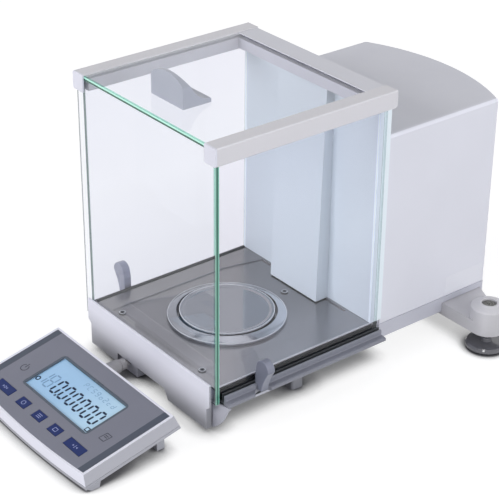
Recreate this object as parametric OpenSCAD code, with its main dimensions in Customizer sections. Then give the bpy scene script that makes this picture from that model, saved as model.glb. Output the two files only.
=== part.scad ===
// Analytical balance with a glass weighing chamber, a rear housing for the
// weighing cell and a tilted display terminal that plugs into the base.
// Millimetres. +Z is up from the table, -Y is the front, X = 0 is the symmetry plane.

/* [Weighing chamber] */
// Width over the two top rails
chamber_w = 184.2; // [178:0.2:196]
// Depth, from the front of the top rails to their rear ends
chamber_d = 174; // [168:1:186]
// Height of the top rails above the table
rail_top_z = 248.5; // [225:0.5:275]
// Width of a top rail
rail_w = 13.7; // [13:0.1:16]
// Height of a top rail
rail_h = 14.7; // [13.5:0.1:18]
// Material of a top rail above the top pane
rail_web = 1.2; // [1:0.1:1.6]
// Material of a top rail outside the side pane
rail_cheek = 3.8; // [3:0.1:4.2]
// Thickness of the cap on a rail's front end
cap_t = 1.5; // [1:0.1:2.5]
// Thickness of the front pane and the side panes
pane_t = 3.5; // [3:0.1:4]
// Thickness of the top pane
top_pane_t = 3; // [2.4:0.1:3.6]
// Height of the sheet floor above the table
floor_z = 40.6; // [39.6:0.1:42]
// Thickness of the sheet floor
floor_t = 1; // [0.8:0.1:1.2]
// Step up from the middle of the floor to its side bands
band_rise = 1; // [0.6:0.1:1.4]
// Width of the lower middle of the floor
floor_mid_w = 127; // [110:1:136]
// Distance of the rear wall's face behind the rail fronts
wall_y = 165; // [160:1:168]
// Thickness of the rear wall
wall_t = 2.5; // [2:0.1:3]
// Width of the cell cover that stands out of the rear wall
cell_cover_w = 60; // [50:1:80]
// Distance that the cell cover stands out at the floor
cell_cover_d = 13; // [10:0.5:16]

/* [Weighing pan] */
// Diameter of the weighing pan
pan_d = 80; // [60:1:84]
// Height of the pan's rim above the table
pan_z = 47.1; // [46.4:0.1:50]
// Distance of the pan's centre behind the rail fronts
pan_y = 81.5; // [76:0.5:86]
// Outside diameter of the draught ring round the pan
ring_d = 99.6; // [94:0.2:108]
// Outer height of the draught ring above the floor
ring_h = 2.8; // [2:0.1:4]
// Gap between the pan and the draught ring
pan_gap = 1.6; // [1.2:0.1:3]
// Diameter of the pan's spindle
spindle_d = 8; // [6:0.5:10]

/* [Base] */
// Width of the base under the chamber
base_w = 160; // [156:1:162]
// Height of the base's underside above the table
base_bot_z = 15; // [12:0.5:18]
// Width of the front apron at its lip
apron_w = 168.8; // [164:0.2:172]
// Width of the front apron below its step
apron_low_w = 160.8; // [156:0.2:163]
// Height of the apron's lip above the table
apron_top_z = 46.9; // [44:0.1:50]
// Height of the apron's lower edge above the table
apron_bot_z = 5; // [3:0.5:8]
// Height of the cable notch's roof above the table
notch_top_z = 13.6; // [13.4:0.1:14]
// Height of the ledge behind the lip, which carries the front pane
apron_ledge_z = 31; // [30:0.5:33]
// Width over the wings of the front end plate
wing_w = 195.8; // [194:0.2:200]
// Height of the wings' straight top edge above the table
wing_top_z = 29; // [28.5:0.1:29.2]
// Angle that the wings are swept back
wing_turn = 12; // [8:1:14]
// Distance of the two fixed front feet behind the rail fronts
front_foot_y = 98; // [60:1:120]
// Distance between the two fixed front feet
front_foot_gap = 134; // [100:1:140]

/* [Side doors] */
// Width over the outer lips of the two door carriers
carrier_w = 196; // [194:0.2:204]
// Height of a carrier's outer flange above the table
carrier_top_z = 37.6; // [37:0.1:39]
// Height of a carrier's underside above the table
carrier_bot_z = 29.7; // [29.7:0.1:30.4]
// Length of a side pane
door_l = 161.8; // [150:0.2:164]
// Distance of the door handles behind the rail fronts
handle_y = 40; // [34:0.5:60]
// Thickness of a door handle from front to back
handle_t = 7; // [5:0.5:9]
// Height of a door handle
handle_h = 28; // [22:0.5:30]
// Width that a door handle stands out from the carrier's flange
handle_out = 14; // [10:0.5:16]

/* [Top door] */
// Width of the top handle
top_handle_w = 41; // [32:1:50]
// Height of the top handle at its sides
top_handle_side_h = 17.5; // [14:0.5:20]
// Height of the top handle at its middle
top_handle_h = 24.5; // [20:0.5:28]
// Length of the top handle from front to back
top_handle_l = 26; // [20:0.5:32]
// Distance of the top handle behind the rail fronts
top_handle_y = 24.5; // [18:0.5:40]

/* [Rear housing] */
// Width of the rear housing
housing_w = 162.4; // [160:0.2:164]
// Distance of the housing's front behind the rail fronts
housing_y = 177; // [176:0.5:188]
// Length of the housing's straight sides
housing_side_l = 121.5; // [118:0.5:130]
// Bulge of the housing's curved rear behind its corners
housing_bulge = 19; // [12:0.5:24]
// Height of the housing's top above the table
housing_top_z = 206; // [180:1:225]
// Height of the seam between the housing cover and the base
seam_z = 35; // [34.5:0.5:36]
// Height of the base's skirt above the table
skirt_bot_z = 21.3; // [20:0.1:23]
// Wall of the housing cover
cover_t = 2.5; // [2:0.1:3.5]
// Rounding of the cover's top edges
cover_r = 3; // [1:0.5:5]

/* [Levelling feet] */
// Distance between the axes of the two levelling feet
foot_gap = 240.6; // [236:0.2:260]
// Distance of the levelling feet behind the rail fronts
foot_y = 265.7; // [264:0.1:270]
// Radius of the bosses that hold the foot screws
boss_r = 15.5; // [14:0.5:17]
// Height of the bosses' rims above the table
boss_top_z = 43; // [38:0.5:46]
// Height of the arms' tops above the table
arm_top_z = 29.3; // [27:0.1:29.3]
// Height of the arms' undersides above the table
arm_bot_z = 18; // [16:0.5:20]
// Width of an arm from its front edge to its rear corner at the housing
arm_l = 45.5; // [40:0.5:48]
// Diameter of the foot screws
screw_d = 5; // [4:0.5:8]
// Diameter of the feet's hand wheels
wheel_d = 35.4; // [30:0.2:40]
// Thickness of the feet's hand wheels
wheel_t = 5; // [4:0.5:7]
// Thickness of the soft pads under the hand wheels
pad_t = 1.6; // [1:0.1:2.5]
// Travel of a levelling foot each way from the stored height
foot_travel = 3; // [1:0.5:4]

/* [Terminal] */
// Width of the terminal at its top edge
term_w = 163; // [150:1:170]
// Spread of the terminal's sides from top to bottom, each side
term_flare = 4.2; // [2:0.1:6]
// Length of the keypad foil along the slope at its corners
foil_l = 81; // [76:1:95]
// Bulge of the terminal's curved front
term_bulge = 4; // [2:0.5:8]
// Thickness of the terminal square to its face
term_t = 10.6; // [10.2:0.1:11.6]
// Tilt of the terminal's face
term_tilt = 12.2; // [10:0.1:12.4]
// Distance of the foil's rear edge in front of the rail fronts
term_gap = 34; // [33:0.5:60]
// Height of the foil's rear edge above the table
term_z = 30.9; // [30.8:0.1:34]
// Width of the display window
lcd_w = 92.6; // [70:0.2:96]
// Height of the display window along the slope
lcd_h = 43; // [30:0.5:46]
// Width of the two outer keys
key_wide_w = 22; // [16:0.5:24]
// Width of the three middle keys
key_w = 12.6; // [10:0.2:14]
// Height of the keys along the slope
key_h = 8.2; // [6:0.2:9]
// Distance of the keys' centres down the slope from the foil's rear edge
key_row = 69.4; // [66:0.2:70]
// Travel of a key
key_travel = 0.6; // [0.3:0.1:0.8]
// Distance of the plug from the symmetry plane
plug_x = 29.5; // [20:0.5:34]
// Height of the plug's axis above the table
plug_z = 10.4; // [10:0.1:10.5]
// Diameter of the plug's grip
plug_d = 11.4; // [9:0.2:11.6]

/* [Weighing cell] */
// Distance of the lever's pivot behind the rail fronts
pivot_y = 208; // [206:0.5:212]
// Height of the lever's pivot above the table
pivot_z = 101; // [95:1:110]
// Lever arm from the load carrier's link to the pivot
short_arm = 18; // [16:0.5:20]
// Lever arm from the pivot to the coil
long_arm = 64; // [60:0.5:68]
// Diameter of the pivot pin
pivot_d = 3; // [2.5:0.1:4]
// Outside diameter of the magnet pot
pot_d = 42; // [36:1:48]
// Mean diameter of the coil
coil_d = 25; // [20:0.5:28]
// Travel of the pan down to its overload stop
pan_travel = 0.5; // [0.3:0.1:0.6]

/* [Hidden] */
$fn = 64;
eps = 0.05;

// Clearances
slide_gap = 0.3;   // between a sliding piece and its guide
seat_gap = 0.1;    // between a pane and the pocket that grips it
pin_gap = 0.05;    // radial, between a pin and its bore

// Chamber planes
rail_in = chamber_w / 2 - rail_w;
rail_bot_z = rail_top_z - rail_h;
top_pane_z = rail_top_z - rail_web - slide_gap - top_pane_t;
top_pane_grip = 4;
front_pane_y = cap_t + slide_gap;
front_pane_back = front_pane_y + pane_t;
front_pane_half = chamber_w / 2 - 2.8;
front_pane_top = top_pane_z - slide_gap;
door_y = front_pane_back + 0.9;
door_out = chamber_w / 2 - rail_cheek - slide_gap;
door_in = door_out - pane_t;
door_grip = 5;
bar_y = chamber_d - 20.5;
bar_back = chamber_d - 1.5;
bar_top_z = top_pane_z - slide_gap - 0.1;
bar_cover_t = 0.9;
wall_half = door_in - 1;
floor_half = door_in - 0.5;
floor_front = front_pane_back + 0.5;
floor_under = floor_z - floor_t;
rear_screw_y = 143;
post_d = 9;

// Front end plate, tracks and carriers
plate_y = front_pane_back + 0.3;
plate_t = 2.8;
plate_back = plate_y + plate_t;
apron_proud = 0.7;
apron_t = 2;
apron_seam = 1;
wing_t = 1.6;
track_wall = 2;
rib_half = 1.2;
rib_x = (door_in + door_out) / 2;
clamp_t = 1.2;
carrier_x = chamber_w / 2;
track_out = carrier_x - 2;
track_y = plate_y + (track_out - apron_low_w / 2) * tan(wing_turn) + wing_t + 0.1;
carrier_web = 2.6;
carrier_y = plate_back + slide_gap;
scoop_r = 8.5;

// Rear housing planes
housing_half = housing_w / 2;
housing_corner_y = housing_y + housing_side_l;
housing_back_y = housing_corner_y + housing_bulge;
deck_t = 3.2;
skirt_t = 3;
arm_y = foot_y - boss_r;
arm_gap = 0.2;
spigot_d = screw_d - 1;
head_r = 5.6;
head_top_z = boss_top_z - 1.2;
head_t = 2.6;
spigot_l = 0.8;

// Terminal planes
foil_w = term_w - 5;
foil_t = 1;
term_rim = 1.4;
term_wall = 2.4;
face_t = 2.4;
lower_t = 2;
window_rim = 2.2;
window_r = 4;
lcd_row = 35.6;
key_gap = 0.35;
key_t = 1.8;
key_xs = [-51, -23.2, 0, 23.2, 51];
key_ws = [key_wide_w, key_w, key_w, key_w, key_wide_w];
plug_front_y = -apron_proud - 1;
plug_neck_d = 5.6;
plug_back_y = 9;
socket_l = 12;
term_front_s = foil_l + term_rim + term_flare * 0.75 + term_bulge;
term_reach = term_gap + term_front_s * cos(term_tilt) - term_t * sin(term_tilt);

// Weighing cell
link_y = pivot_y - short_arm;
coil_y = pivot_y + long_arm;
lever_h = 7;
lever_w = 12;
ear_gap = 0.5;
ear_t = 4;
coil_wall = 1.8;
coil_h = 9;
pot_h = 34;
pot_gap = 4.4;
post_y = 220;
receiver_t = 7;
receiver_back = link_y - 3;
receiver_front = receiver_back - receiver_t;
arm_bar_z = seam_z + 1;
arm_bar_t = 2.6;
guide_t = 0.6;
guide_low_z = 56;
guide_high_z = pivot_z + 19;

// The origin is the middle of the whole outline, on the table
mid_y = (housing_back_y - term_reach) / 2;

// ---------- helpers ----------

module box(x0, x1, y0, y1, z0, z1) {
    translate([x0, y0, z0]) cube([x1 - x0, y1 - y0, z1 - z0]);
}

// A profile drawn in X and Z, pushed along +Y from y0 to y1
module along_y(y0, y1) {
    translate([0, y1, 0]) rotate([90, 0, 0]) linear_extrude(y1 - y0) children();
}

// A profile drawn in Y and Z, pushed along +X from x0 to x1
module along_x(x0, x1) {
    translate([x0, 0, 0]) rotate([90, 0, 90]) linear_extrude(x1 - x0) children();
}

module rod_y(d, y0, y1) {
    translate([0, y0, 0]) rotate([-90, 0, 0]) cylinder(d = d, h = y1 - y0);
}

module rod_x(d, x0, x1) {
    translate([x0, 0, 0]) rotate([0, 90, 0]) cylinder(d = d, h = x1 - x0);
}

// A rectangle with round corners, centred
module soft_rect(w, h, r) {
    hull()
        for (sx = [-1, 1], sy = [-1, 1])
            translate([sx * (w / 2 - r), sy * (h / 2 - r)]) circle(r, $fn = 32);
}

// Moves a part drawn on the right to the left
module on_left() {
    mirror([1, 0, 0]) children();
}

module place() {
    translate([0, -mid_y, 0]) children();
}

// Points of an arc that bulges by rise from the chord (-half, 0) to (half, 0)
function bulge_r(half, rise) = (half * half + rise * rise) / (2 * rise);
function bulge_arc(half, rise, steps) =
    let (r = bulge_r(half, rise), turn = asin(half / r))
    [for (i = [0:steps]) let (a = turn * (1 - 2 * i / steps))
        [r * sin(a), r * cos(a) - (r - rise)]];

// ---------- chamber frame ----------

// Section of the right top rail, with its two running grooves
module rail_section() {
    x1 = chamber_w / 2;
    edge = 0.8;
    groove_in = rail_in + top_pane_grip + slide_gap;
    polygon([
        [rail_in, rail_bot_z],
        [door_in - slide_gap, rail_bot_z],
        [door_in - slide_gap, rail_bot_z + door_grip + slide_gap],
        [door_out + slide_gap, rail_bot_z + door_grip + slide_gap],
        [door_out + slide_gap, rail_bot_z],
        [x1 - edge, rail_bot_z], [x1, rail_bot_z + edge],
        [x1, rail_top_z - edge], [x1 - edge, rail_top_z],
        [rail_in, rail_top_z],
        [rail_in, top_pane_z + top_pane_t + slide_gap],
        [groove_in, top_pane_z + top_pane_t + slide_gap],
        [groove_in, top_pane_z - slide_gap],
        [rail_in, top_pane_z - slide_gap]
    ]);
}

module top_rail() {
    corner = 3;
    difference() {
        along_y(cap_t, chamber_d) rail_section();
        box(rail_in - 1, front_pane_half + slide_gap, cap_t - 1, front_pane_back + slide_gap,
            rail_bot_z - 1, front_pane_top + 0.2);
        // The rear lower corner is cut off at a slant
        along_x(rail_in - 1, chamber_w / 2 + 1)
            polygon([[chamber_d - corner, rail_bot_z - 1], [chamber_d + 1, rail_bot_z - 1],
                     [chamber_d + 1, rail_bot_z + corner]]);
    }
}

module top_rail_right() { color([0.82, 0.82, 0.84]) top_rail(); }
module top_rail_left() { color([0.82, 0.82, 0.84]) on_left() top_rail(); }

// The cap covers a rail's front end and the corner of the front pane
module rail_cap() {
    edge = 0.8;
    x1 = chamber_w / 2;
    along_y(0, cap_t)
        polygon([[rail_in, rail_bot_z], [x1 - edge, rail_bot_z], [x1, rail_bot_z + edge],
                 [x1, rail_top_z - edge], [x1 - edge, rail_top_z], [rail_in, rail_top_z]]);
}

module rail_cap_right() { color([0.88, 0.88, 0.93]) rail_cap(); }
module rail_cap_left() { color([0.88, 0.88, 0.93]) on_left() rail_cap(); }

// The bar joins the two rails over the rear wall. The top pane slides through the
// slot between its lower channel and its cover strip.
module rear_top_bar() {
    wall = 2;
    bot = rail_bot_z + 0.6;
    strip_z = top_pane_z + top_pane_t + slide_gap;
    color([0.80, 0.81, 0.85])
    along_x(-rail_in, rail_in) {
        polygon([[bar_y, bot], [bar_y, bar_top_z], [bar_back, bar_top_z], [bar_back, bot],
                 [bar_back - wall, bot], [bar_back - wall, bar_top_z - wall],
                 [bar_y + wall, bar_top_z - wall], [bar_y + wall, bot]]);
        translate([bar_y, strip_z]) square([bar_back - bar_y, bar_cover_t]);
    }
}

module front_pane() {
    color([0.75, 0.92, 0.86, 0.4])
    box(-front_pane_half, front_pane_half, front_pane_y, front_pane_back,
        apron_ledge_z, front_pane_top);
}

// Rear wall: two flat side fields, a cell cover that stands out, and side returns
module rear_wall() {
    low = floor_z + band_rise;
    high = rail_bot_z;
    lean = 5;
    in_x = cell_cover_w / 2;
    front_low = wall_y - cell_cover_d;
    color([0.80, 0.84, 0.89]) {
        for (s = [-1, 1])
            box(min(s * wall_half, s * in_x), max(s * wall_half, s * in_x), wall_y, wall_y + wall_t,
                low, high);
        for (s = [-1, 1])
            box(min(s * wall_half, s * (wall_half - wall_t)), max(s * wall_half, s * (wall_half - wall_t)),
                wall_y + wall_t, housing_y, low, rail_bot_z);
        // Cell cover: a tray with its open side to the rear
        difference() {
            along_x(-in_x, in_x)
                polygon([[front_low, low], [front_low + lean, high], [wall_y + wall_t, high],
                         [wall_y + wall_t, low]]);
            along_x(-in_x + wall_t, in_x - wall_t)
                polygon([[front_low + wall_t, low + wall_t], [front_low + lean + wall_t, high - wall_t],
                         [wall_y + wall_t + 1, high - wall_t], [wall_y + wall_t + 1, low + wall_t]]);
        }
    }
}

// ---------- chamber floor ----------

// Outline of the sheet floor's lower middle, narrowed behind
module floor_mid() {
    half = floor_mid_w / 2;
    front = floor_front + 4;
    taper_y = 128;
    polygon([[-half, front], [half, front], [half, taper_y], [half - 8, wall_y - 2],
             [-half + 8, wall_y - 2], [-half, taper_y]]);
}

module floor_plate() {
    hole_d = spindle_d + 6;
    color([0.55, 0.55, 0.57])
    difference() {
        box(-floor_half, floor_half, floor_front, wall_y + wall_t, floor_under, floor_z + band_rise);
        translate([0, 0, floor_z]) linear_extrude(band_rise + 1) floor_mid();
        translate([0, pan_y, floor_under - 1]) cylinder(d = hole_d, h = floor_t + 3);
        floor_screw_places() translate([0, 0, -6]) cylinder(d = 4.4, h = 8);
    }
}

module floor_screw_places() {
    for (p = [[-55.2, 14.4], [55.2, 14.4], [0, rear_screw_y]])
        translate([p[0], p[1], floor_z]) children();
}

// Countersunk cross-head screws that hold the floor to the base
module floor_screws() {
    head_d = 6.4;
    head_t = 0.9;
    shank_d = 3.9;
    color([0.6, 0.6, 0.62])
    floor_screw_places()
        difference() {
            union() {
                cylinder(d = head_d, h = head_t);
                translate([0, 0, -10]) cylinder(d = shank_d, h = 10);
            }
            for (a = [0, 90])
                rotate(a) translate([-2, -0.4, head_t - 0.6]) cube([4, 0.8, 1]);
        }
}

// Polished ring with a coned top, a turned-down outer edge and a raised inner edge
module draught_ring() {
    in_r = pan_d / 2 + pan_gap;
    out_r = ring_d / 2;
    top = pan_z - 0.9 - floor_z;
    sheet = 1.2;
    color([0.78, 0.78, 0.8])
    translate([0, pan_y, floor_z])
        rotate_extrude($fn = 96)
            polygon([[out_r - sheet, 0], [out_r, 0], [out_r, ring_h - 0.6], [out_r - 0.8, ring_h],
                     [in_r + 0.6, top], [in_r, top - 0.5], [in_r, 0.6], [in_r + sheet, 0.6],
                     [in_r + sheet, top - sheet], [out_r - sheet, ring_h - sheet]]);
}

// ---------- base ----------

module housing_outline(inset) {
    arc = bulge_arc(housing_half - inset, housing_bulge, 24);
    polygon(concat(
        [[-housing_half + inset, housing_y + inset], [housing_half - inset, housing_y + inset]],
        [for (p = arc) [p[0], housing_corner_y - inset * 0.6 + p[1]]]));
}

// Front tub under the chamber and an inverted tray with a skirt under the housing
module base_casting() {
    half = base_w / 2;
    wall = 4;
    tub_floor = 3;
    pass_half = 18;
    lap = 8;
    color([0.76, 0.77, 0.81])
    difference() {
        union() {
            box(-half, half, plate_back, housing_y, base_bot_z, floor_under);
            box(-half, half, plate_back, housing_y + lap, base_bot_z, seam_z);
            translate([0, 0, skirt_bot_z]) linear_extrude(seam_z - skirt_bot_z) housing_outline(0);
        }
        // Inside of the front tub
        box(-half + wall, half - wall, plate_back + wall, housing_y - 1, base_bot_z + tub_floor,
            floor_under + 1);
        // Underside of the rear tray
        translate([0, 0, skirt_bot_z - 1])
            linear_extrude(seam_z - deck_t - skirt_bot_z + 1)
                intersection() {
                    housing_outline(skirt_t);
                    translate([-housing_w, housing_y + lap + wall]) square([2 * housing_w, 200]);
                }
        // The load carrier's bar passes over the tub's rear wall
        box(-pass_half, pass_half, housing_y - 2, housing_y + 1, seam_z, floor_under + 1);
        // The rear foot beam lies across the tray
        box(-housing_w, housing_w, arm_y - arm_gap, arm_y + arm_l + arm_gap, skirt_bot_z - 1,
            arm_top_z + 0.3);
        // Threads of the floor screws
        floor_screw_places() translate([0, 0, -12]) cylinder(d = 4, h = 12);
    }
    // Posts under the floor screws
    color([0.76, 0.77, 0.81])
    floor_screw_places()
        difference() {
            translate([0, 0, -floor_t - (floor_under - base_bot_z) + 1])
                cylinder(d = post_d, h = floor_under - base_bot_z - 1);
            translate([0, 0, -12]) cylinder(d = 4, h = 13);
        }
}

// Moulded front: a lip before the pane, a step at each side and a cable notch below
module front_apron() {
    hi = apron_w / 2;
    lo = apron_low_w / 2;
    step_z = 24;
    notch_l = -41.6;
    notch_r = 26;
    back = plate_y - apron_seam;
    color([0.87, 0.88, 0.93])
    difference() {
        union() {
            along_y(-apron_proud, -apron_proud + apron_t)
                polygon([[-lo, apron_bot_z], [lo, apron_bot_z], [lo, step_z], [hi, step_z + 3],
                         [hi, apron_top_z], [-hi, apron_top_z], [-hi, step_z + 3], [-lo, step_z]]);
            difference() {
                box(-lo, lo, -apron_proud, back, apron_bot_z, apron_ledge_z);
                box(-lo + apron_t, lo - apron_t, -apron_proud + apron_t, back + 1,
                    apron_bot_z - 1, apron_ledge_z - apron_t);
            }
        }
        along_y(-2, back + 1)
            polygon([[notch_l, apron_bot_z - 1], [notch_l, notch_top_z], [notch_r - 2, notch_top_z],
                     [notch_r, notch_top_z - 3], [notch_r + 4, apron_bot_z - 1]]);
    }
}

// Closes the front of the base and of both door tracks. The wings are swept back and
// curve in below.
module track_end_plate() {
    lo = apron_low_w / 2;
    span = wing_w / 2 - lo;
    low = apron_bot_z - 0.5;
    rise = wing_top_z - low;
    sweep = span * tan(wing_turn);
    root = lo - 6;
    curve = [[0, 0], [0.2, 0.11], [0.41, 0.255], [0.55, 0.385], [0.65, 0.52], [0.74, 0.665],
             [0.84, 0.83], [1, 1]];
    color([0.74, 0.74, 0.79]) {
        along_y(plate_y, plate_back)
            translate([-root - 2, base_bot_z]) square([2 * root + 4, floor_under - base_bot_z]);
        for (s = [0, 1])
            mirror([s, 0, 0])
                intersection() {
                    linear_extrude(wing_top_z)
                        polygon([[root, plate_y], [lo, plate_y], [lo + span, plate_y + sweep],
                                 [lo + span, plate_y + sweep + wing_t], [lo, plate_y + wing_t],
                                 [root, plate_y + wing_t]]);
                    along_y(plate_y - 1, plate_y + sweep + wing_t + 1)
                        polygon(concat([[root, wing_top_z], [root, low]],
                            [for (p = curve) [lo + span * p[0], low + rise * p[1]]]));
                }
    }
}

// Dark running track: a wall on the base, a floor and a rib that carries the door
module door_track() {
    in_x = base_w / 2;
    floor_top = carrier_bot_z - slide_gap - 1;
    color([0.2, 0.2, 0.22])
    along_y(track_y, chamber_d)
        polygon([[in_x, floor_top - 2.5], [track_out, floor_top - 2.5], [track_out, floor_top],
                 [rib_x + rib_half, floor_top], [rib_x + rib_half, carrier_bot_z - slide_gap],
                 [rib_x - rib_half, carrier_bot_z - slide_gap], [rib_x - rib_half, floor_top],
                 [in_x + track_wall, floor_top], [in_x + track_wall, floor_under - 0.1],
                 [in_x, floor_under - 0.1]]);
}

module door_track_right() { door_track(); }
module door_track_left() { on_left() door_track(); }

module front_feet() {
    color([0.25, 0.25, 0.27])
    for (s = [-1, 1])
        translate([s * front_foot_gap / 2, front_foot_y, 0]) {
            linear_extrude(base_bot_z) soft_rect(12, 12, 2.5);
        }
}

// ---------- side doors ----------

module side_pane() {
    color([0.75, 0.92, 0.86, 0.4])
    box(door_in, door_out, door_y, door_y + door_l, carrier_bot_z + carrier_web,
        rail_bot_z + door_grip);
}

module side_pane_right() { side_pane(); }
module side_pane_left() { on_left() side_pane(); }

// Section of the right carrier: clamp for the pane, hollow, flange and rounded lip
module carrier_section() {
    web_z = carrier_bot_z + carrier_web;
    lip_x = carrier_w / 2;
    flange_in = carrier_x - 1.6;
    clamp_top = floor_under - 0.8;
    polygon([
        [door_in - clamp_t - seat_gap, carrier_bot_z], [lip_x - 1, carrier_bot_z],
        [lip_x - 0.3, carrier_bot_z + 0.4], [lip_x, carrier_bot_z + 1.2],
        [lip_x, carrier_bot_z + 2.2], [lip_x - 0.4, carrier_bot_z + 3],
        [lip_x - 1.3, carrier_bot_z + 3.4], [carrier_x + 0.6, carrier_bot_z + 3.5],
        [carrier_x, carrier_bot_z + 4.1], [carrier_x, carrier_top_z - 0.6],
        [carrier_x - 0.6, carrier_top_z],
        [flange_in, carrier_top_z], [flange_in, web_z],
        [door_out + seat_gap + clamp_t, web_z], [door_out + seat_gap + clamp_t, clamp_top],
        [door_out + seat_gap, clamp_top], [door_out + seat_gap, web_z],
        [door_in - seat_gap, web_z], [door_in - seat_gap, clamp_top - 1],
        [door_in - clamp_t - seat_gap, clamp_top - 1]
    ]);
}

module door_carrier() {
    scoop_y = handle_y + 2;
    scoop_x = carrier_x + 8.5;
    flange_seat = carrier_x - 1.7;
    difference() {
        along_y(carrier_y, door_y + door_l + 2) carrier_section();
        translate([scoop_x, scoop_y, carrier_bot_z - 1]) cylinder(r = scoop_r, h = 20);
        // Seat of the handle
        box(flange_seat, carrier_w / 2 + 1, handle_y - 0.1, handle_y + handle_t + 0.1,
            carrier_bot_z + carrier_web, carrier_top_z + 1);
    }
}

module door_carrier_right() { color([0.51, 0.52, 0.58]) door_carrier(); }
module door_carrier_left() { color([0.51, 0.52, 0.58]) on_left() door_carrier(); }

// Tongue that leans outwards, round at the top, with a hollowed outer side
module door_handle() {
    x0 = door_out + seat_gap + clamp_t + 0.1;
    top = carrier_bot_z + carrier_web + handle_h;
    out = carrier_x + handle_out;
    r = (out - x0 - 2) / 2;
    low = carrier_bot_z + carrier_web;
    neck = x0 + 8;
    steps = 12;
    head = [for (i = [0:steps]) let (a = 180 - 190 * i / steps)
        [x0 + 1 + r + r * cos(a), top - r + r * sin(a)]];
    belly = [for (i = [1:8]) let (t = i / 8)
        [out - 1 - (out - 1 - neck) * (1 - pow(1 - t, 1.7)) , top - r * 1.17 - (top - r * 1.17 - low) * t]];
    along_y(handle_y, handle_y + handle_t)
        polygon(concat([[x0, low], [x0, top - r - 4]], head, belly, [[neck, low]]));
}

module door_handle_right() { color([0.50, 0.52, 0.60]) door_handle(); }
module door_handle_left() { color([0.50, 0.52, 0.60]) on_left() door_handle(); }

// ---------- top door ----------

module top_pane() {
    half = rail_in + top_pane_grip;
    color([0.75, 0.92, 0.86, 0.4])
    box(-half, half, front_pane_y, chamber_d - 2, top_pane_z, top_pane_z + top_pane_t);
}

// Arched front plate that sweeps down in a hollow curve to a thin tail
module top_handle() {
    z0 = top_pane_z + top_pane_t;
    half = top_handle_w / 2;
    rise = top_handle_h - top_handle_side_h;
    plate = 3;
    tail = 4;
    edge = 1.2;
    steps = 14;
    run = top_handle_l - plate - edge;
    sweep = [for (i = [0:steps]) let (t = i / steps)
        [plate + run * t, tail + (top_handle_h - tail) * pow(1 - t, 2.4)]];
    color([0.70, 0.73, 0.79])
    translate([0, top_handle_y, z0])
        intersection() {
            along_x(-half, half)
                polygon(concat([[0, 0], [0, top_handle_h]], sweep,
                    [[top_handle_l, tail - edge], [top_handle_l, 0]]));
            along_y(-1, top_handle_l + 1)
                polygon(concat([[-half, 0], [half, 0]],
                    [for (p = bulge_arc(half, rise, 20)) [p[0], top_handle_side_h + p[1]]]));
        }
}

// ---------- weighing pan and cell ----------

// Shallow dish with a rolled rim and a socket below
module weighing_pan() {
    r = pan_d / 2;
    sheet = 0.9;
    dish = 0.9;
    skirt = 3.2;
    socket_r = spindle_d / 2 + 2.2;
    color([0.72, 0.72, 0.75])
    translate([0, pan_y, pan_z])
        rotate_extrude($fn = 96)
            polygon([[0, -dish], [r - 5, -dish], [r - 3.2, -0.3], [r - 1.6, 0], [r - 0.4, -0.4],
                     [r, -1.3], [r, -skirt], [r - sheet, -skirt], [r - sheet, -1.5],
                     [r - 1.9, -sheet], [r - 4.6, -dish - sheet], [socket_r, -dish - sheet],
                     [socket_r, -4.4], [spindle_d / 2, -4.4], [spindle_d / 2, -dish - sheet],
                     [0, -dish - sheet]]);
}

module pan_spindle() {
    foot_z = arm_bar_z + arm_bar_t;
    color([0.6, 0.6, 0.63])
    translate([0, pan_y, 0])
        rotate_extrude()
            polygon([[0, foot_z], [spindle_d / 2 + 2, foot_z], [spindle_d / 2 + 2, foot_z + 1],
                     [spindle_d / 2, foot_z + 1.5], [spindle_d / 2, pan_z - 2.2],
                     [spindle_d / 2 - 0.5, pan_z - 1.8], [0, pan_z - 1.8]]);
}

// Bar under the floor from the pan to the cell, with the upright load receiver
module load_carrier() {
    half = 14;
    tip = 9;
    color([0.66, 0.67, 0.70]) {
        translate([0, 0, arm_bar_z])
            linear_extrude(arm_bar_t)
              difference() {
                polygon(concat(
                    [for (i = [0:10]) let (a = 180 + 18 * i) [tip * cos(a), pan_y + tip * sin(a)]],
                    [[half, housing_y], [half, receiver_back], [-half, receiver_back],
                     [-half, housing_y]]));
                // Clear of the post of the rear floor screw
                translate([-post_d / 2 - 1.5, rear_screw_y - post_d / 2 - 1.5])
                    square([post_d + 3, post_d + 3]);
              }
        difference() {
            along_x(-half, half)
                polygon([[receiver_front, arm_bar_z + arm_bar_t],
                         [receiver_back, arm_bar_z + arm_bar_t],
                         [receiver_back, guide_high_z - 1], [receiver_front, guide_high_z - 1]]);
            box(-half + 5, half - 5, receiver_front - 1, receiver_back + 1, guide_low_z + 8,
                pivot_z - 10);
        }
    }
}

// Two thin triangular plates with weakened ends, which keep the load carrier upright
module guide_plates() {
    front = receiver_back + slide_gap;
    back = post_y + 6;
    half = 13;
    color([0.7, 0.71, 0.74])
    for (z = [guide_low_z, guide_high_z])
        translate([0, 0, z])
            linear_extrude(guide_t)
                difference() {
                    polygon([[-half, front], [half, front], [half + 8, back], [-half - 8, back]]);
                    polygon([[-half + 5, front + 6], [half - 5, front + 6], [half - 1, post_y - 5],
                             [-half + 1, post_y - 5]]);
                }
}

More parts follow.
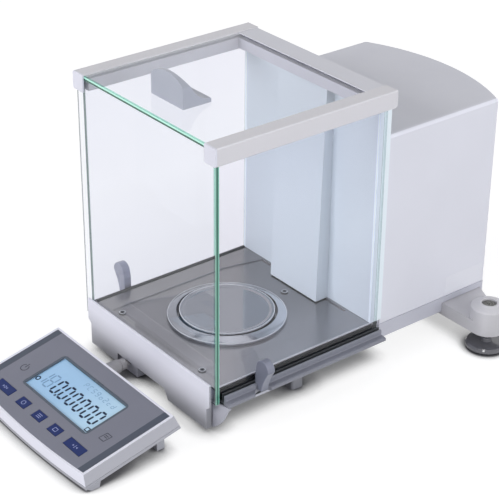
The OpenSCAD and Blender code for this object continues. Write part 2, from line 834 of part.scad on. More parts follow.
// Fixed casting: foot, post, guide seats and the two ears of the lever's pivot
module cell_frame() {
    half = 21;
    ear_in = lever_w / 2 + ear_gap;
    color([0.62, 0.63, 0.66])
    difference() {
        union() {
            box(-half - 6, half + 6, post_y - 4, coil_y + pot_d / 2, seam_z, seam_z + 6);
            for (s = [-1, 1])
                box(min(s * ear_in, s * half), max(s * ear_in, s * half), post_y, post_y + 14,
                    seam_z + 6, guide_high_z);
            box(-half, half, post_y, post_y + 14, seam_z + 6, pivot_z - lever_h);
            for (s = [-1, 1])
                box(min(s * ear_in, s * (ear_in + ear_t)), max(s * ear_in, s * (ear_in + ear_t)),
                    pivot_y - 6, post_y + 1, pivot_z - 8, pivot_z + 6);
        }
        // Slot of the lower guide
        box(-half - 1, half + 1, post_y - 1, post_y + 6.2, guide_low_z - 0.1,
            guide_low_z + guide_t + 0.1);
        translate([0, pivot_y, pivot_z]) rod_x(pivot_d, -half - 1, half + 1);
    }
}

module pivot_pin() {
    half = lever_w / 2 + ear_gap + ear_t;
    color([0.8, 0.8, 0.82])
    translate([0, pivot_y, pivot_z]) rod_x(pivot_d, -half, half);
}

// Lever with a bored boss at the pivot, a link nose in front and a coil seat behind
module balance_lever() {
    nose = receiver_back + slide_gap;
    color([0.74, 0.75, 0.78])
    translate([0, 0, pivot_z])
        difference() {
            union() {
                along_x(-lever_w / 2, lever_w / 2)
                    polygon([[nose, -1.5], [pivot_y - 6, -lever_h / 2],
                             [coil_y - 14, -lever_h / 2], [coil_y - 14, lever_h / 2],
                             [pivot_y - 6, lever_h / 2], [nose, 1.5]]);
                translate([0, coil_y, -1]) cylinder(r = 15, h = lever_h / 2 + 1);
                translate([0, pivot_y, 0]) rod_x(10, -lever_w / 2, lever_w / 2);
            }
            translate([0, pivot_y, 0])
                rod_x(pivot_d + 2 * pin_gap, -lever_w / 2 - 1, lever_w / 2 + 1);
        }
}

module force_coil() {
    r = coil_d / 2;
    color([0.72, 0.42, 0.2])
    translate([0, coil_y, pivot_z - 1 - coil_h])
        rotate_extrude()
            translate([r - coil_wall / 2, 0]) square([coil_wall, coil_h]);
}

// Steel pot with a ring gap for the coil
module magnet_pot() {
    top = pivot_z - 1 - 4;
    r = coil_d / 2;
    color([0.45, 0.45, 0.48])
    translate([0, coil_y, seam_z + 6])
        rotate_extrude()
            polygon([[0, 0], [pot_d / 2, 0], [pot_d / 2, top - seam_z - 6],
                     [r + pot_gap / 2, top - seam_z - 6], [r + pot_gap / 2, top - seam_z - 6 - 10],
                     [r - pot_gap / 2, top - seam_z - 6 - 10], [r - pot_gap / 2, top - seam_z - 6],
                     [0, top - seam_z - 6]]);
}

// Board on the left, with its processor, a converter can and a plug row
module main_board() {
    x0 = -housing_half + 10;
    color([0.15, 0.4, 0.25]) {
        box(x0, x0 + 1.6, housing_y + 12, housing_corner_y - 12, seam_z, 140);
        box(x0 + 1.6, x0 + 3.2, 215, 231, 85, 101);
        box(x0 + 1.6, x0 + 9, 243, 268, 100, 125);
        box(x0 + 1.6, x0 + 8, 200, 232, 46, 52);
    }
}

// ---------- rear housing ----------

module housing_cover() {
    soft_steps = 3;
    color([0.81, 0.82, 0.87])
    difference() {
        union() {
            translate([0, 0, seam_z]) linear_extrude(housing_top_z - cover_r - seam_z) housing_outline(0);
            hull()
                for (i = [0:soft_steps])
                    let (a = 90 * i / soft_steps)
                    translate([0, 0, housing_top_z - cover_r + cover_r * sin(a) - eps])
                        linear_extrude(eps) housing_outline(cover_r * (1 - cos(a)));
        }
        translate([0, 0, seam_z - 1])
            linear_extrude(housing_top_z - cover_t - seam_z + 1) housing_outline(cover_t);
        // Passage of the load carrier
        box(-22, 22, housing_y - 1, housing_y + 6, seam_z - 1, floor_z + 6);
        // Window of the socket plate
        box(-socket_plate_w / 2, socket_plate_w / 2, socket_plate_y - 1, housing_back_y + 5,
            seam_z - 1, socket_plate_top);
    }
}

// ---------- sockets at the rear ----------

socket_plate_w = 74;
socket_plate_top = 66;
socket_plate_y = housing_back_y - 12;
socket_plate_t = 2;
jack_x = -22;
serial_x = 14;
socket_z = 51;
jack_bore = 5.8;
jack_l = 11;

// Tray in the cover's rear window, with the sockets on its floor
module socket_plate() {
    half = socket_plate_w / 2;
    out = half + socket_plate_t;
    color([0.3, 0.3, 0.33])
    difference() {
        intersection() {
            difference() {
                box(-out, out, socket_plate_y, housing_back_y, seam_z, socket_plate_top + socket_plate_t);
                box(-half, half, socket_plate_y + socket_plate_t, housing_back_y + 1, seam_z - 1,
                    socket_plate_top);
            }
            linear_extrude(housing_top_z) housing_outline(cover_t + 0.1);
        }
        translate([jack_x, 0, socket_z]) rod_y(9, socket_plate_y - 1, socket_plate_y + 4);
        translate([serial_x, 0, socket_z])
            box(-9, 9, socket_plate_y - 1, socket_plate_y + 4, -4.6, 4.6);
    }
}

// Round inlet of the mains adapter
module power_socket() {
    color([0.1, 0.1, 0.11])
    translate([jack_x, 0, socket_z])
        difference() {
            union() {
                rod_y(8.8, socket_plate_y - jack_l + 3, socket_plate_y + 3);
                rod_y(12, socket_plate_y + socket_plate_t, socket_plate_y + 3);
            }
            rod_y(jack_bore, socket_plate_y - jack_l + 5, socket_plate_y + 4);
        }
}

// Nine-way connector with its flange and two hexagonal posts
module serial_port() {
    color([0.7, 0.7, 0.73])
    translate([serial_x, 0, socket_z]) {
        along_y(socket_plate_y - 8, socket_plate_y + 5)
            polygon([[-8.2, -3.8], [8.2, -3.8], [9 - 0.2, 3.8], [-9 + 0.2, 3.8]]);
        for (s = [-1, 1])
            translate([s * 12.5, 0, 0])
                rotate([-90, 30, 0])
                    translate([0, 0, socket_plate_y + socket_plate_t]) cylinder(d = 5.4, h = 4, $fn = 6);
    }
}

// ---------- levelling feet ----------

// Outline of one arm in plan: straight front, slanted rear edge into the boss
module arm_plan() {
    root_x = housing_half;
    union() {
        polygon([[0, arm_y], [foot_gap / 2, arm_y], [foot_gap / 2, foot_y],
                 [foot_gap / 2 - 3, foot_y + boss_r - 1.2], [root_x + 16, arm_y + arm_l - 7.5],
                 [root_x + 2, arm_y + arm_l - 1], [root_x, arm_y + arm_l], [0, arm_y + arm_l]]);
        translate([foot_gap / 2, foot_y]) circle(boss_r);
    }
}

// One casting across the tray, with an arm and a threaded boss at each end
module rear_foot_beam() {
    shoulder = boss_top_z - 2.5;
    recess_r = 6.4;
    thread_top = head_top_z - head_t - foot_travel - 0.6;
    color([0.73, 0.73, 0.74])
    difference() {
        union()
            for (s = [0, 1])
                mirror([s, 0, 0]) {
                    translate([0, 0, arm_bot_z]) linear_extrude(arm_top_z - arm_bot_z) arm_plan();
                    translate([foot_gap / 2, foot_y, arm_bot_z])
                        rotate_extrude()
                            polygon([[0, 0], [boss_r, 0], [boss_r, shoulder - arm_bot_z - 1],
                                     [boss_r - 1, shoulder - arm_bot_z],
                                     [recess_r + 3, boss_top_z - arm_bot_z - 0.8],
                                     [recess_r + 1.6, boss_top_z - arm_bot_z],
                                     [0, boss_top_z - arm_bot_z]]);
                }
        for (s = [-1, 1])
            translate([s * foot_gap / 2, foot_y, 0]) {
                translate([0, 0, arm_bot_z - 1]) cylinder(d = screw_d + 2 * pin_gap, h = 40);
                translate([0, 0, thread_top]) cylinder(r = recess_r, h = 20);
            }
    }
}

// Screw with a knurled head in the boss and a spigot in the pad
module foot_screw() {
    r = screw_d / 2;
    edge = 0.5;
    color([0.66, 0.66, 0.68])
    rotate_extrude()
        polygon([[0, pad_t - spigot_l], [spigot_d / 2, pad_t - spigot_l], [spigot_d / 2, pad_t],
                 [r, pad_t], [r, head_top_z - head_t], [head_r, head_top_z - head_t],
                 [head_r, head_top_z - edge], [head_r - edge, head_top_z], [0, head_top_z]]);
}

// Plain hand wheel moulded round the screw
module foot_wheel() {
    r = wheel_d / 2;
    collar = screw_d / 2 + 2.5;
    color([0.22, 0.22, 0.24])
    difference() {
        rotate_extrude($fn = 72)
            polygon([[0, pad_t], [r - 1, pad_t], [r, pad_t + 1], [r, pad_t + wheel_t - 2],
                     [r - 1.5, pad_t + wheel_t - 0.6], [r - 4, pad_t + wheel_t],
                     [collar, pad_t + wheel_t], [collar - 0.5, pad_t + wheel_t + 3],
                     [0, pad_t + wheel_t + 3]]);
        translate([0, 0, pad_t - 1]) cylinder(d = screw_d, h = wheel_t + 6);
    }
}

// Soft pad that swivels on the screw's spigot
module foot_pad() {
    r = wheel_d / 2 - 1.2;
    top = pad_t - slide_gap;
    color([0.15, 0.15, 0.16])
    difference() {
        rotate_extrude($fn = 72)
            polygon([[0, 0], [r - 0.6, 0], [r, 0.5], [r, top], [0, top]]);
        translate([0, 0, pad_t - spigot_l - 0.2]) cylinder(d = spigot_d + 2 * pin_gap, h = pad_t);
    }
}

module on_foot(side) {
    translate([side * foot_gap / 2, foot_y, 0]) children();
}

module foot_screw_right() { on_foot(1) foot_screw(); }
module foot_screw_left() { on_foot(-1) foot_screw(); }
module foot_wheel_right() { on_foot(1) foot_wheel(); }
module foot_wheel_left() { on_foot(-1) foot_wheel(); }
module foot_pad_right() { on_foot(1) foot_pad(); }
module foot_pad_left() { on_foot(-1) foot_pad(); }

// ---------- terminal ----------

// Frame of the terminal's face: X across, -Y down the slope, Z square to the face
module on_face() {
    translate([0, -term_gap, term_z]) rotate([term_tilt, 0, 0]) children();
}

// Outline of the face, grown by side, rear and front amounts
module face_outline(side, rear, front) {
    half = foil_w / 2 + side;
    polygon(concat([[-half, rear], [half, rear]],
        [for (p = bulge_arc(half, term_bulge, 16)) [p[0], -foil_l - front - p[1]]]));
}

// Slice of the case at one depth below its face, where the walls have spread by then
module case_slice(z, shrink) {
    rim = (term_w - foil_w) / 2;
    spread = -z / term_t;
    translate([0, 0, z])
        linear_extrude(eps)
            face_outline(rim + term_flare * spread - shrink, 2 + 1.4 * spread - shrink,
                         term_rim + 0.75 * term_flare * spread - shrink);
}

module case_block(shrink, z_top, z_bot) {
    hull() {
        case_slice(z_top - eps, shrink);
        case_slice(z_bot, shrink);
    }
}

module display_hole(grow) {
    translate([0, -lcd_row]) soft_rect(lcd_w + 2 * grow, lcd_h + 2 * grow, window_r);
}

module key_holes(grow) {
    for (i = [0:4])
        translate([key_xs[i], -key_row])
            square([key_ws[i] + 2 * grow, key_h + 2 * grow], center = true);
}

// Upper shell: face with a seat for the foil, windows, and flared side walls
module terminal_upper_case() {
    color([0.86, 0.87, 0.92])
    on_face()
        difference() {
            case_block(0, 0, -term_t + lower_t + 0.2);
            case_block(term_wall, -face_t, -term_t);
            translate([0, 0, -foil_t]) linear_extrude(foil_t + 1) face_outline(0.05, 0.05, 0.05);
            translate([0, 0, -face_t - 1]) linear_extrude(face_t + 2) display_hole(-1);
            translate([0, 0, -face_t - 1]) linear_extrude(face_t + 2) key_holes(key_gap);
        }
}

// Lower shell with a plug housing, two rear feet and two front skirts down to the table
module terminal_lower_case() {
    color([0.84, 0.85, 0.90]) {
        intersection() {
            on_face() case_block(0, -term_t + lower_t, -term_t);
            box(-term_w, term_w, -3 * term_w, 0, 0.5, 100);
        }
        for (side = [0, 1])
            mirror([side, 0, 0]) {
                terminal_foot();
                terminal_skirt();
            }
        plug_housing();
    }
}

function face_y(s, z) = -term_gap - s * cos(term_tilt) - z * sin(term_tilt);
function face_z(s, z) = term_z - s * sin(term_tilt) + z * cos(term_tilt);

module terminal_foot() {
    s0 = 4.7;
    s1 = 11.9;
    x0 = 66.4;
    along_x(x0, x0 + 8)
        polygon([[face_y(s0, -term_t), 0], [face_y(s0, -term_t), face_z(s0, -term_t + 1)],
                 [face_y(s1, -term_t), face_z(s1, -term_t + 1)], [face_y(s1, -term_t), 0]]);
}

// Wall that carries a front corner of the case down to the table
module terminal_skirt() {
    s0 = foil_l - 9;
    s1 = term_front_s - term_bulge - 0.5;
    in_z = 1 - term_t;
    x1 = term_w / 2 + term_flare - 0.1;
    y0 = face_y(s0, -term_t);
    y1 = face_y(s1, -term_t);
    along_x(x1 - 17, x1)
        polygon([[y0, face_z(s0, in_z)], [y0 - 1.2, 0], [y1 + 4.4, 0],
                 [y1, face_z(s1, -term_t) + 0.3], [y1 + 0.2, face_z(s1, in_z)]]);
}

// Block under the terminal's rear edge that holds the plug
module plug_housing() {
    half = 9;
    s0 = 4;
    s1 = 18;
    y0 = face_y(s1, -term_t);
    y1 = face_y(s0, -term_t);
    difference() {
        along_x(-plug_x - half, -plug_x + half)
            polygon([[y0, 0.8], [y0, face_z(s1, -term_t)], [y1, face_z(s0, -term_t)], [y1, 0.8]]);
        translate([-plug_x, 0, plug_z]) rod_y(plug_d - 2 + 2 * pin_gap, y1 - 8.1, y1 + 1);
    }
}

// Plug between the terminal and the base: a grip outside, a neck through the notch
module link_plug() {
    y1 = face_y(4, -term_t);
    nose = plug_back_y + 3;
    grip_l = plug_front_y - 1 - y1;
    ring_l = 4.5;
    r = plug_d / 2;
    ring_r = r - 0.9;
    neck = plug_neck_d / 2;
    color([0.62, 0.62, 0.65])
    translate([-plug_x, y1 - 8, plug_z])
        rotate([-90, 0, 0])
            rotate_extrude()
                polygon([[0, 0], [r - 1, 0], [r - 1, 8], [r, 8], [r, 8 + grip_l - ring_l - 1],
                         [r - 0.6, 8 + grip_l - ring_l - 0.4], [ring_r - 0.5, 8 + grip_l - ring_l - 0.4],
                         [ring_r - 0.5, 8 + grip_l - ring_l], [ring_r, 8 + grip_l - ring_l],
                         [ring_r, 8 + grip_l], [ring_r - 0.6, 8.6 + grip_l], [neck, 8.6 + grip_l],
                         [neck, 8 + nose - y1], [0, 8 + nose - y1]]);
}

// Socket under the base's front edge, in a block that fills the notch behind the apron
module link_socket() {
    front = plug_back_y - 6.5;
    color([0.16, 0.16, 0.18])
    difference() {
        box(-plug_x - 20, -plug_x + 12, front, plug_back_y + socket_l, 1.2, base_bot_z);
        translate([-plug_x, 0, plug_z]) rod_y(plug_neck_d + 2 * pin_gap, front - 1, plug_back_y + 4);
    }
}

module keypad_foil() {
    color([0.47, 0.49, 0.54])
    on_face()
        translate([0, 0, -foil_t])
            linear_extrude(foil_t)
                difference() {
                    face_outline(0, 0, 0);
                    display_hole(0.05);
                    key_holes(key_gap);
                }
}

// Dark frame round the display
module display_window() {
    color([0.3, 0.35, 0.42])
    on_face()
        translate([0, 0, -foil_t])
            linear_extrude(foil_t - 0.1)
                difference() {
                    display_hole(0);
                    translate([0, -lcd_row])
                        square([lcd_w - 2 * window_rim, lcd_h - 2 * window_rim], center = true);
                }
}

module display_panel() {
    color([0.63, 0.77, 0.9])
    on_face()
        translate([0, -lcd_row, -foil_t - 3.4])
            linear_extrude(2.8)
                square([lcd_w - 4, lcd_h - 4], center = true);
}

module terminal_board() {
    z0 = -term_t + lower_t + 0.2;
    color([0.15, 0.4, 0.25])
    on_face() {
        translate([0, -44, z0]) linear_extrude(1.4) square([140, 66], center = true);
        for (i = [0:4])
            translate([key_xs[i], -key_row, z0 + 1.4])
                cylinder(d = 6, h = -foil_t - key_t - key_travel - slide_gap - z0 - 1.4);
        for (s = [-1, 1])
            translate([s * 40, -lcd_row, z0 + 1.4])
                linear_extrude(-foil_t - 3.4 - z0 - 1.4) square([4, 30], center = true);
    }
}

module key(i) {
    color([0.17, 0.2, 0.5])
    on_face()
        translate([key_xs[i], -key_row, 0.2 - key_t - foil_t])
            linear_extrude(key_t + foil_t) square([key_ws[i], key_h], center = true);
}

module key_1() { key(0); }
module key_2() { key(1); }
module key_3() { key(2); }
module key_4() { key(3); }
module key_5() { key(4); }

// ---------- the assembly ----------

place() base_casting();
place() front_apron();
place() track_end_plate();
place() door_track_left();
place() door_track_right();
place() floor_plate();
place() floor_screws();
place() draught_ring();
place() rear_wall();
place() top_rail_left();
place() top_rail_right();
place() rail_cap_left();
place() rail_cap_right();
place() rear_top_bar();
place() front_pane();
place() front_feet();
place() housing_cover();
place() rear_foot_beam();
place() cell_frame();
place() guide_plates();
place() magnet_pot();
place() pivot_pin();
place() main_board();
place() power_socket();
place() serial_port();
place() socket_plate();
place() link_socket();
place() link_plug();
place() terminal_upper_case();
place() terminal_lower_case();
place() keypad_foil();
place() display_window();
place() display_panel();
place() terminal_board();
place() side_pane_left();
place() door_carrier_left();
place() door_handle_left();
place() side_pane_right();
place() door_carrier_right();
place() door_handle_right();
place() top_pane();
place() top_handle();
place() weighing_pan();
place() pan_spindle();
place() load_carrier();
place() balance_lever();
place() force_coil();
place() key_1();
place() key_2();
place() key_3();
place() key_4();
place() key_5();
place() foot_pad_left();
place() foot_screw_left();
place() foot_wheel_left();
place() foot_pad_right();
place() foot_screw_right();
place() foot_wheel_right();
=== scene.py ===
# Looks of the analytical balance: materials, display, symbols, small trim, lights, floor
# and camera. The scene is in metres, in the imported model's frame. Most places and widths
# are typed in millimetres, and at() or on_face() brings them into the frame.
import math
import bpy
import bmesh
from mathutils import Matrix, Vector


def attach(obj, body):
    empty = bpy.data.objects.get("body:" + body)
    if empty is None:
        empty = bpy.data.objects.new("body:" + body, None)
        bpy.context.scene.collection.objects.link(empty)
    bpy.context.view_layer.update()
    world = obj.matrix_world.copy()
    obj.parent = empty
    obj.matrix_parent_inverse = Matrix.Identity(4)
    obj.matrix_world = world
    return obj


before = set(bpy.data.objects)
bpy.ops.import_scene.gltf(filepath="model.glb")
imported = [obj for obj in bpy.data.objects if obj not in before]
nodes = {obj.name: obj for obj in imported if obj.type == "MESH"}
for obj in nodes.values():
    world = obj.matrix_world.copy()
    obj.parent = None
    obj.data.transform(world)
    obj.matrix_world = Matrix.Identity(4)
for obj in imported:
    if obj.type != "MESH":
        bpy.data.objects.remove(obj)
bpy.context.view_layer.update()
scene = bpy.context.scene

# Place of the rail fronts on the frame's y axis
RAIL_Y = -0.099106


def at(x, y, z):
    """A point given in millimetres, with y measured back from the rail fronts."""
    return Vector((x / 1000, y / 1000 + RAIL_Y, z / 1000))


# ---------- camera ----------

cam_data = bpy.data.cameras.new("camera")
cam_data.lens = 115.37
cam_data.sensor_width = 36
cam_data.shift_x = 0.0550
cam_data.shift_y = -0.0078
cam_data.clip_end = 20
cam = bpy.data.objects.new("camera", cam_data)
cam.location = at(899.5, -612.5, 722.3)
cam.rotation_euler = (math.radians(90 - 28.49), 0, math.radians(52.558))
scene.collection.objects.link(cam)
scene.camera = cam


# ---------- material helpers ----------

def srgb(r, g, b):
    """A colour in 0..255 as the photo shows it, as a linear colour."""
    def lin(c):
        c /= 255
        return c / 12.92 if c <= 0.04045 else ((c + 0.055) / 1.055) ** 2.4
    return (lin(r), lin(g), lin(b), 1)


class Nodes:
    """Small helper that adds nodes and links to a new material, or to the world."""

    def __init__(self, name, world=None):
        self.mat = world or bpy.data.materials.new(name)
        self.mat.use_nodes = True
        self.tree = self.mat.node_tree
        self.tree.nodes.clear()
        self.out = self.add("ShaderNodeOutputWorld" if world else "ShaderNodeOutputMaterial")

    def add(self, kind, **values):
        """A new node with these settings."""
        node = self.tree.nodes.new(kind)
        for key, value in values.items():
            setattr(node, key, value)
        return node

    def link(self, a, b):
        self.tree.links.new(a, b)

    def maths(self, operation, a, b=None):
        """A sum or the like of sockets and plain numbers."""
        node = self.add("ShaderNodeMath", operation=operation)
        for socket, value in zip(node.inputs, (a, b)):
            if isinstance(value, (int, float)):
                socket.default_value = value
            elif value is not None:
                self.link(value, socket)
        return node.outputs["Value"]

    def along(self, axis):
        """How far a point lies along the piece's own box on one axis, from 0 to 1."""
        coord = self.add("ShaderNodeTexCoord")
        split = self.add("ShaderNodeSeparateXYZ")
        self.link(coord.outputs["Generated"], split.inputs["Vector"])
        return split.outputs[axis]

    def facing(self, axis):
        """How squarely a face looks along one axis, either way, from 0 to 1."""
        geometry = self.add("ShaderNodeNewGeometry")
        split = self.add("ShaderNodeSeparateXYZ")
        self.link(geometry.outputs["True Normal"], split.inputs["Vector"])
        return self.maths("ABSOLUTE", split.outputs[axis])

    def noise(self, scale, detail=3, stretch=None, offset=0.0):
        """Noise over the piece's own metres; stretch scales each axis."""
        coord = self.add("ShaderNodeTexCoord")
        mapping = self.add("ShaderNodeMapping")
        mapping.inputs["Location"].default_value = (offset, offset, offset)
        if stretch:
            mapping.inputs["Scale"].default_value = stretch
        tex = self.add("ShaderNodeTexNoise")
        tex.inputs["Scale"].default_value = scale
        tex.inputs["Detail"].default_value = detail
        self.link(coord.outputs["Object"], mapping.inputs["Vector"])
        self.link(mapping.outputs["Vector"], tex.inputs["Vector"])
        return tex.outputs["Fac"]

    def ramp(self, fac, stops):
        """Colour at a value from 0 to 1, from a list of (position, colour)."""
        node = self.add("ShaderNodeValToRGB")
        while len(node.color_ramp.elements) < len(stops):
            node.color_ramp.elements.new(0.5)
        for element, (pos, colour) in zip(node.color_ramp.elements, stops):
            element.position = pos
            element.color = colour
        self.link(fac, node.inputs["Fac"])
        return node.outputs["Color"]

    def span(self, fac, low, high):
        """Noise, most of which lies between 0.3 and 0.7, spread from low to high."""
        node = self.add("ShaderNodeMapRange")
        node.inputs["From Min"].default_value = 0.3
        node.inputs["From Max"].default_value = 0.7
        node.inputs["To Min"].default_value = low
        node.inputs["To Max"].default_value = high
        self.link(fac, node.inputs["Value"])
        return node.outputs["Result"]

    def times(self, a, b):
        """Two colours multiplied."""
        node = self.add("ShaderNodeMix", data_type="RGBA", blend_type="MULTIPLY")
        node.inputs["Factor"].default_value = 1.0
        self.link(a, node.inputs["A"])
        self.link(b, node.inputs["B"])
        return node.outputs["Result"]

    def mixed(self, share, a, b):
        """Shader a where share is 0, b where it is 1."""
        node = self.add("ShaderNodeMixShader")
        self.link(share, node.inputs["Fac"])
        self.link(a, node.inputs[1])
        self.link(b, node.inputs[2])
        return node.outputs["Shader"]

    def bump(self, height, strength, distance):
        """Normal of a surface that rises and falls with height."""
        node = self.add("ShaderNodeBump")
        node.inputs["Strength"].default_value = strength
        node.inputs["Distance"].default_value = distance
        self.link(height, node.inputs["Height"])
        return node.outputs["Normal"]

    def seen_directly(self):
        """1 for camera, mirror and glass rays, which show the white studio, else 0."""
        path = self.add("ShaderNodeLightPath")
        seen = path.outputs["Is Camera Ray"]
        for kind in ("Is Glossy Ray", "Is Transmission Ray"):
            seen = self.maths("MAXIMUM", seen, path.outputs[kind])
        return seen


def shade(colour, k):
    """The same colour, k times as bright."""
    return (colour[0] * k, colour[1] * k, colour[2] * k, 1)


def grey(k):
    """A neutral tone, mostly to multiply a colour by."""
    return (k, k, k, 1)


# Height of the fine grain on plastic and metal, in metres
GRAIN_HEIGHT = 0.00012


def surface(name, colour, rough=0.45, vary=0.04, rough_vary=0.06, grain=900.0, grain_bump=0.12,
            metal=0.0, stretch=None, coat=0.0, specular=0.5, aniso=0.0, side=1.0, rim=1.0,
            top=1.0, along=(), turned=None):
    """Moulded plastic, paint or metal: slow tone changes, fine grain and uneven gloss.
    side is the tone of faces that look left or right, rim that of rounded edges and top
    that of level faces: painted shade where below 1, painted highlight where above 1.
    along lists an axis and the (share, tone) steps of painted light and shade along the
    piece. turned lists the tones of soft light and dark sectors round the piece's
    axis, a painted sheen of lathe-cut metal."""
    n = Nodes(name)
    bsdf = n.add("ShaderNodeBsdfPrincipled")
    bsdf.inputs["Metallic"].default_value = metal
    bsdf.inputs["Specular IOR Level"].default_value = specular
    bsdf.inputs["Coat Weight"].default_value = coat
    bsdf.inputs["Anisotropic"].default_value = aniso
    slow = n.noise(14.0, 2, None, 0.37)
    fine = n.noise(grain, 3, stretch)
    base = n.ramp(slow, [(0.3, shade(colour, 1 - vary)), (0.7, shade(colour, 1 + vary * 0.6))])
    result = n.times(base, n.ramp(fine, [(0.25, grey(1 - vary)), (0.75, grey(1))]))
    # Painted shade: faces that look left or right take the tone side
    if side != 1.0:
        result = n.times(result, n.ramp(n.facing("X"), [(0.45, grey(1)), (0.85, grey(side))]))
    # Painted highlight and painted shade: rounded edges take the tone rim, level faces the tone
    # top
    if (rim, top) != (1.0, 1.0):
        result = n.times(result, n.ramp(n.facing("Z"), [(0.1, grey(1)), (0.3, grey(rim)),
                                                        (0.93, grey(rim)), (0.96, grey(top))]))
    # Painted light and shade laid along one axis of the piece
    if along:
        result = n.times(result, n.ramp(n.along(along[0]),
                                        [(share, grey(tone)) for share, tone in along[1:]]))
    # Painted sheen: light and dark sectors round the piece's axis
    if turned:
        coord = n.add("ShaderNodeTexCoord")
        centre = n.add("ShaderNodeVectorMath", operation="SUBTRACT")
        centre.inputs[1].default_value = (0.5, 0.5, 0.5)
        n.link(coord.outputs["Generated"], centre.inputs[0])
        sweep = n.add("ShaderNodeTexGradient", gradient_type="RADIAL")
        n.link(centre.outputs["Vector"], sweep.inputs["Vector"])
        stops = [(k / (len(turned) - 1), grey(tone)) for k, tone in enumerate(turned)]
        result = n.times(result, n.ramp(sweep.outputs["Fac"], stops))
    n.link(result, bsdf.inputs["Base Color"])
    wide = stretch and tuple(v * 0.3 for v in stretch)
    n.link(n.span(n.noise(60.0, 4, wide, 2.1), rough - rough_vary, rough + rough_vary),
           bsdf.inputs["Roughness"])
    n.link(n.bump(fine, grain_bump, GRAIN_HEIGHT), bsdf.inputs["Normal"])
    n.link(bsdf.outputs["BSDF"], n.out.inputs["Surface"])
    return n.mat


# Colours across the thickness of a ground glass edge, from one rim to the other. The green
# is the glass's own; the light and dark bands across it are painted highlight and painted
# shade, and the grey and pale edges of the two side panes are painted light on one glass.
TEAL_EDGE = [(0.0, srgb(196, 236, 220)), (0.25, srgb(74, 150, 130)), (0.5, srgb(22, 68, 60)),
             (0.75, srgb(66, 142, 122)), (1.0, srgb(160, 222, 204))]
PALE_EDGE = [(0.0, srgb(96, 110, 110)), (0.16, srgb(216, 226, 225)), (0.5, srgb(232, 239, 239)),
             (0.84, srgb(214, 225, 223)), (1.0, srgb(92, 106, 106))]
GREY_EDGE = [(0.0, srgb(150, 168, 165)), (0.15, srgb(96, 118, 114)), (0.7, srgb(104, 126, 122)),
             (1.0, srgb(180, 194, 191))]
MINT_EDGE = [(0.0, srgb(18, 56, 50)), (0.36, srgb(30, 86, 74)), (0.5, srgb(190, 255, 232)),
             (0.86, srgb(200, 255, 238)), (1.0, srgb(96, 178, 156))]
# The same, for edges that are seen from inside the glass and filter what lies behind
CLEAR_RIM = [(0.0, srgb(150, 154, 158)), (0.22, srgb(160, 165, 168)), (0.32, srgb(248, 249, 251)),
             (0.9, srgb(248, 249, 251)), (1.0, srgb(226, 229, 231))]
LINED_RIM = [(0.0, srgb(150, 172, 169)), (0.18, srgb(238, 243, 243)), (0.45, srgb(236, 242, 242)),
             (0.55, srgb(176, 194, 192)), (0.65, srgb(240, 245, 245)), (1.0, srgb(176, 194, 192))]
# Tints of a pane's face along one of its axes. The side panes' tint, brightest at mid
# height, is a painted reflection; the others add the green of the glass near an end.
PAINTED_REFLECTION_FACE = ("Z", [(0.0, srgb(245, 245, 248)), (0.5, srgb(251, 251, 253)),
                    (1.0, srgb(248, 248, 251))])
GREEN_END = ("X", [(0.0, srgb(249, 250, 252)), (0.984, srgb(249, 250, 252)),
                   (1.0, srgb(110, 196, 174))])
MINT_FRONT = ("Y", [(0.0, srgb(120, 200, 176)), (0.006, srgb(176, 236, 216)),
                    (0.012, srgb(249, 250, 252)), (1.0, srgb(251, 251, 253))])


def glass(name, axis, edge_colours, face_tint=PAINTED_REFLECTION_FACE, hidden=None, painted_edge_glow=None):
    """Clear float glass. axis is the one across its thickness, and edge_colours lists the
    colours of its ground edges across that axis. Edges seen from inside the glass filter
    what lies behind them with the colours in hidden, or glow evenly in the colour
    painted_edge_glow, painted light in place of the shade that lies behind them."""
    n = Nodes(name)
    across = n.along(axis)
    from_inside = n.add("ShaderNodeNewGeometry").outputs["Backfacing"]
    clear = n.add("ShaderNodeBsdfTransparent")
    n.link(n.ramp(n.along(face_tint[0]), face_tint[1]), clear.inputs["Color"])
    gloss = n.add("ShaderNodeBsdfGlossy")
    gloss.inputs["Color"].default_value = grey(1)
    n.link(n.span(n.noise(5.0, 2, None, 0.9), 0.01, 0.035), gloss.inputs["Roughness"])
    fresnel = n.add("ShaderNodeFresnel")
    fresnel.inputs["IOR"].default_value = 1.38
    mirror = n.maths("MULTIPLY", fresnel.outputs["Fac"], n.maths("SUBTRACT", 1.0, from_inside))
    face = n.mixed(mirror, clear.outputs["BSDF"], gloss.outputs["BSDF"])
    edge = n.add("ShaderNodeBsdfPrincipled")
    edge.inputs["Roughness"].default_value = 0.12
    edge.inputs["Coat Weight"].default_value = 0.3
    streak = n.ramp(n.noise(30.0, 4, None, 4.0), [(0.3, (0.86, 0.89, 0.88, 1)), (0.7, grey(1))])
    n.link(n.times(n.ramp(across, edge_colours), streak), edge.inputs["Base Color"])
    # Painted light: an edge seen from inside glows instead of showing the shade behind it
    if painted_edge_glow:
        inner = n.add("ShaderNodeEmission")
        inner.inputs["Color"].default_value = painted_edge_glow
        rim = inner.outputs["Emission"]
    else:
        inner = n.add("ShaderNodeBsdfTransparent")
        n.link(n.ramp(across, hidden), inner.inputs["Color"])
        rim = inner.outputs["BSDF"]
    either_edge = n.mixed(from_inside, edge.outputs["BSDF"], rim)
    is_face = n.maths("GREATER_THAN", n.facing(axis), 0.7)
    n.link(n.mixed(is_face, either_edge, face), n.out.inputs["Surface"])
    return n.mat


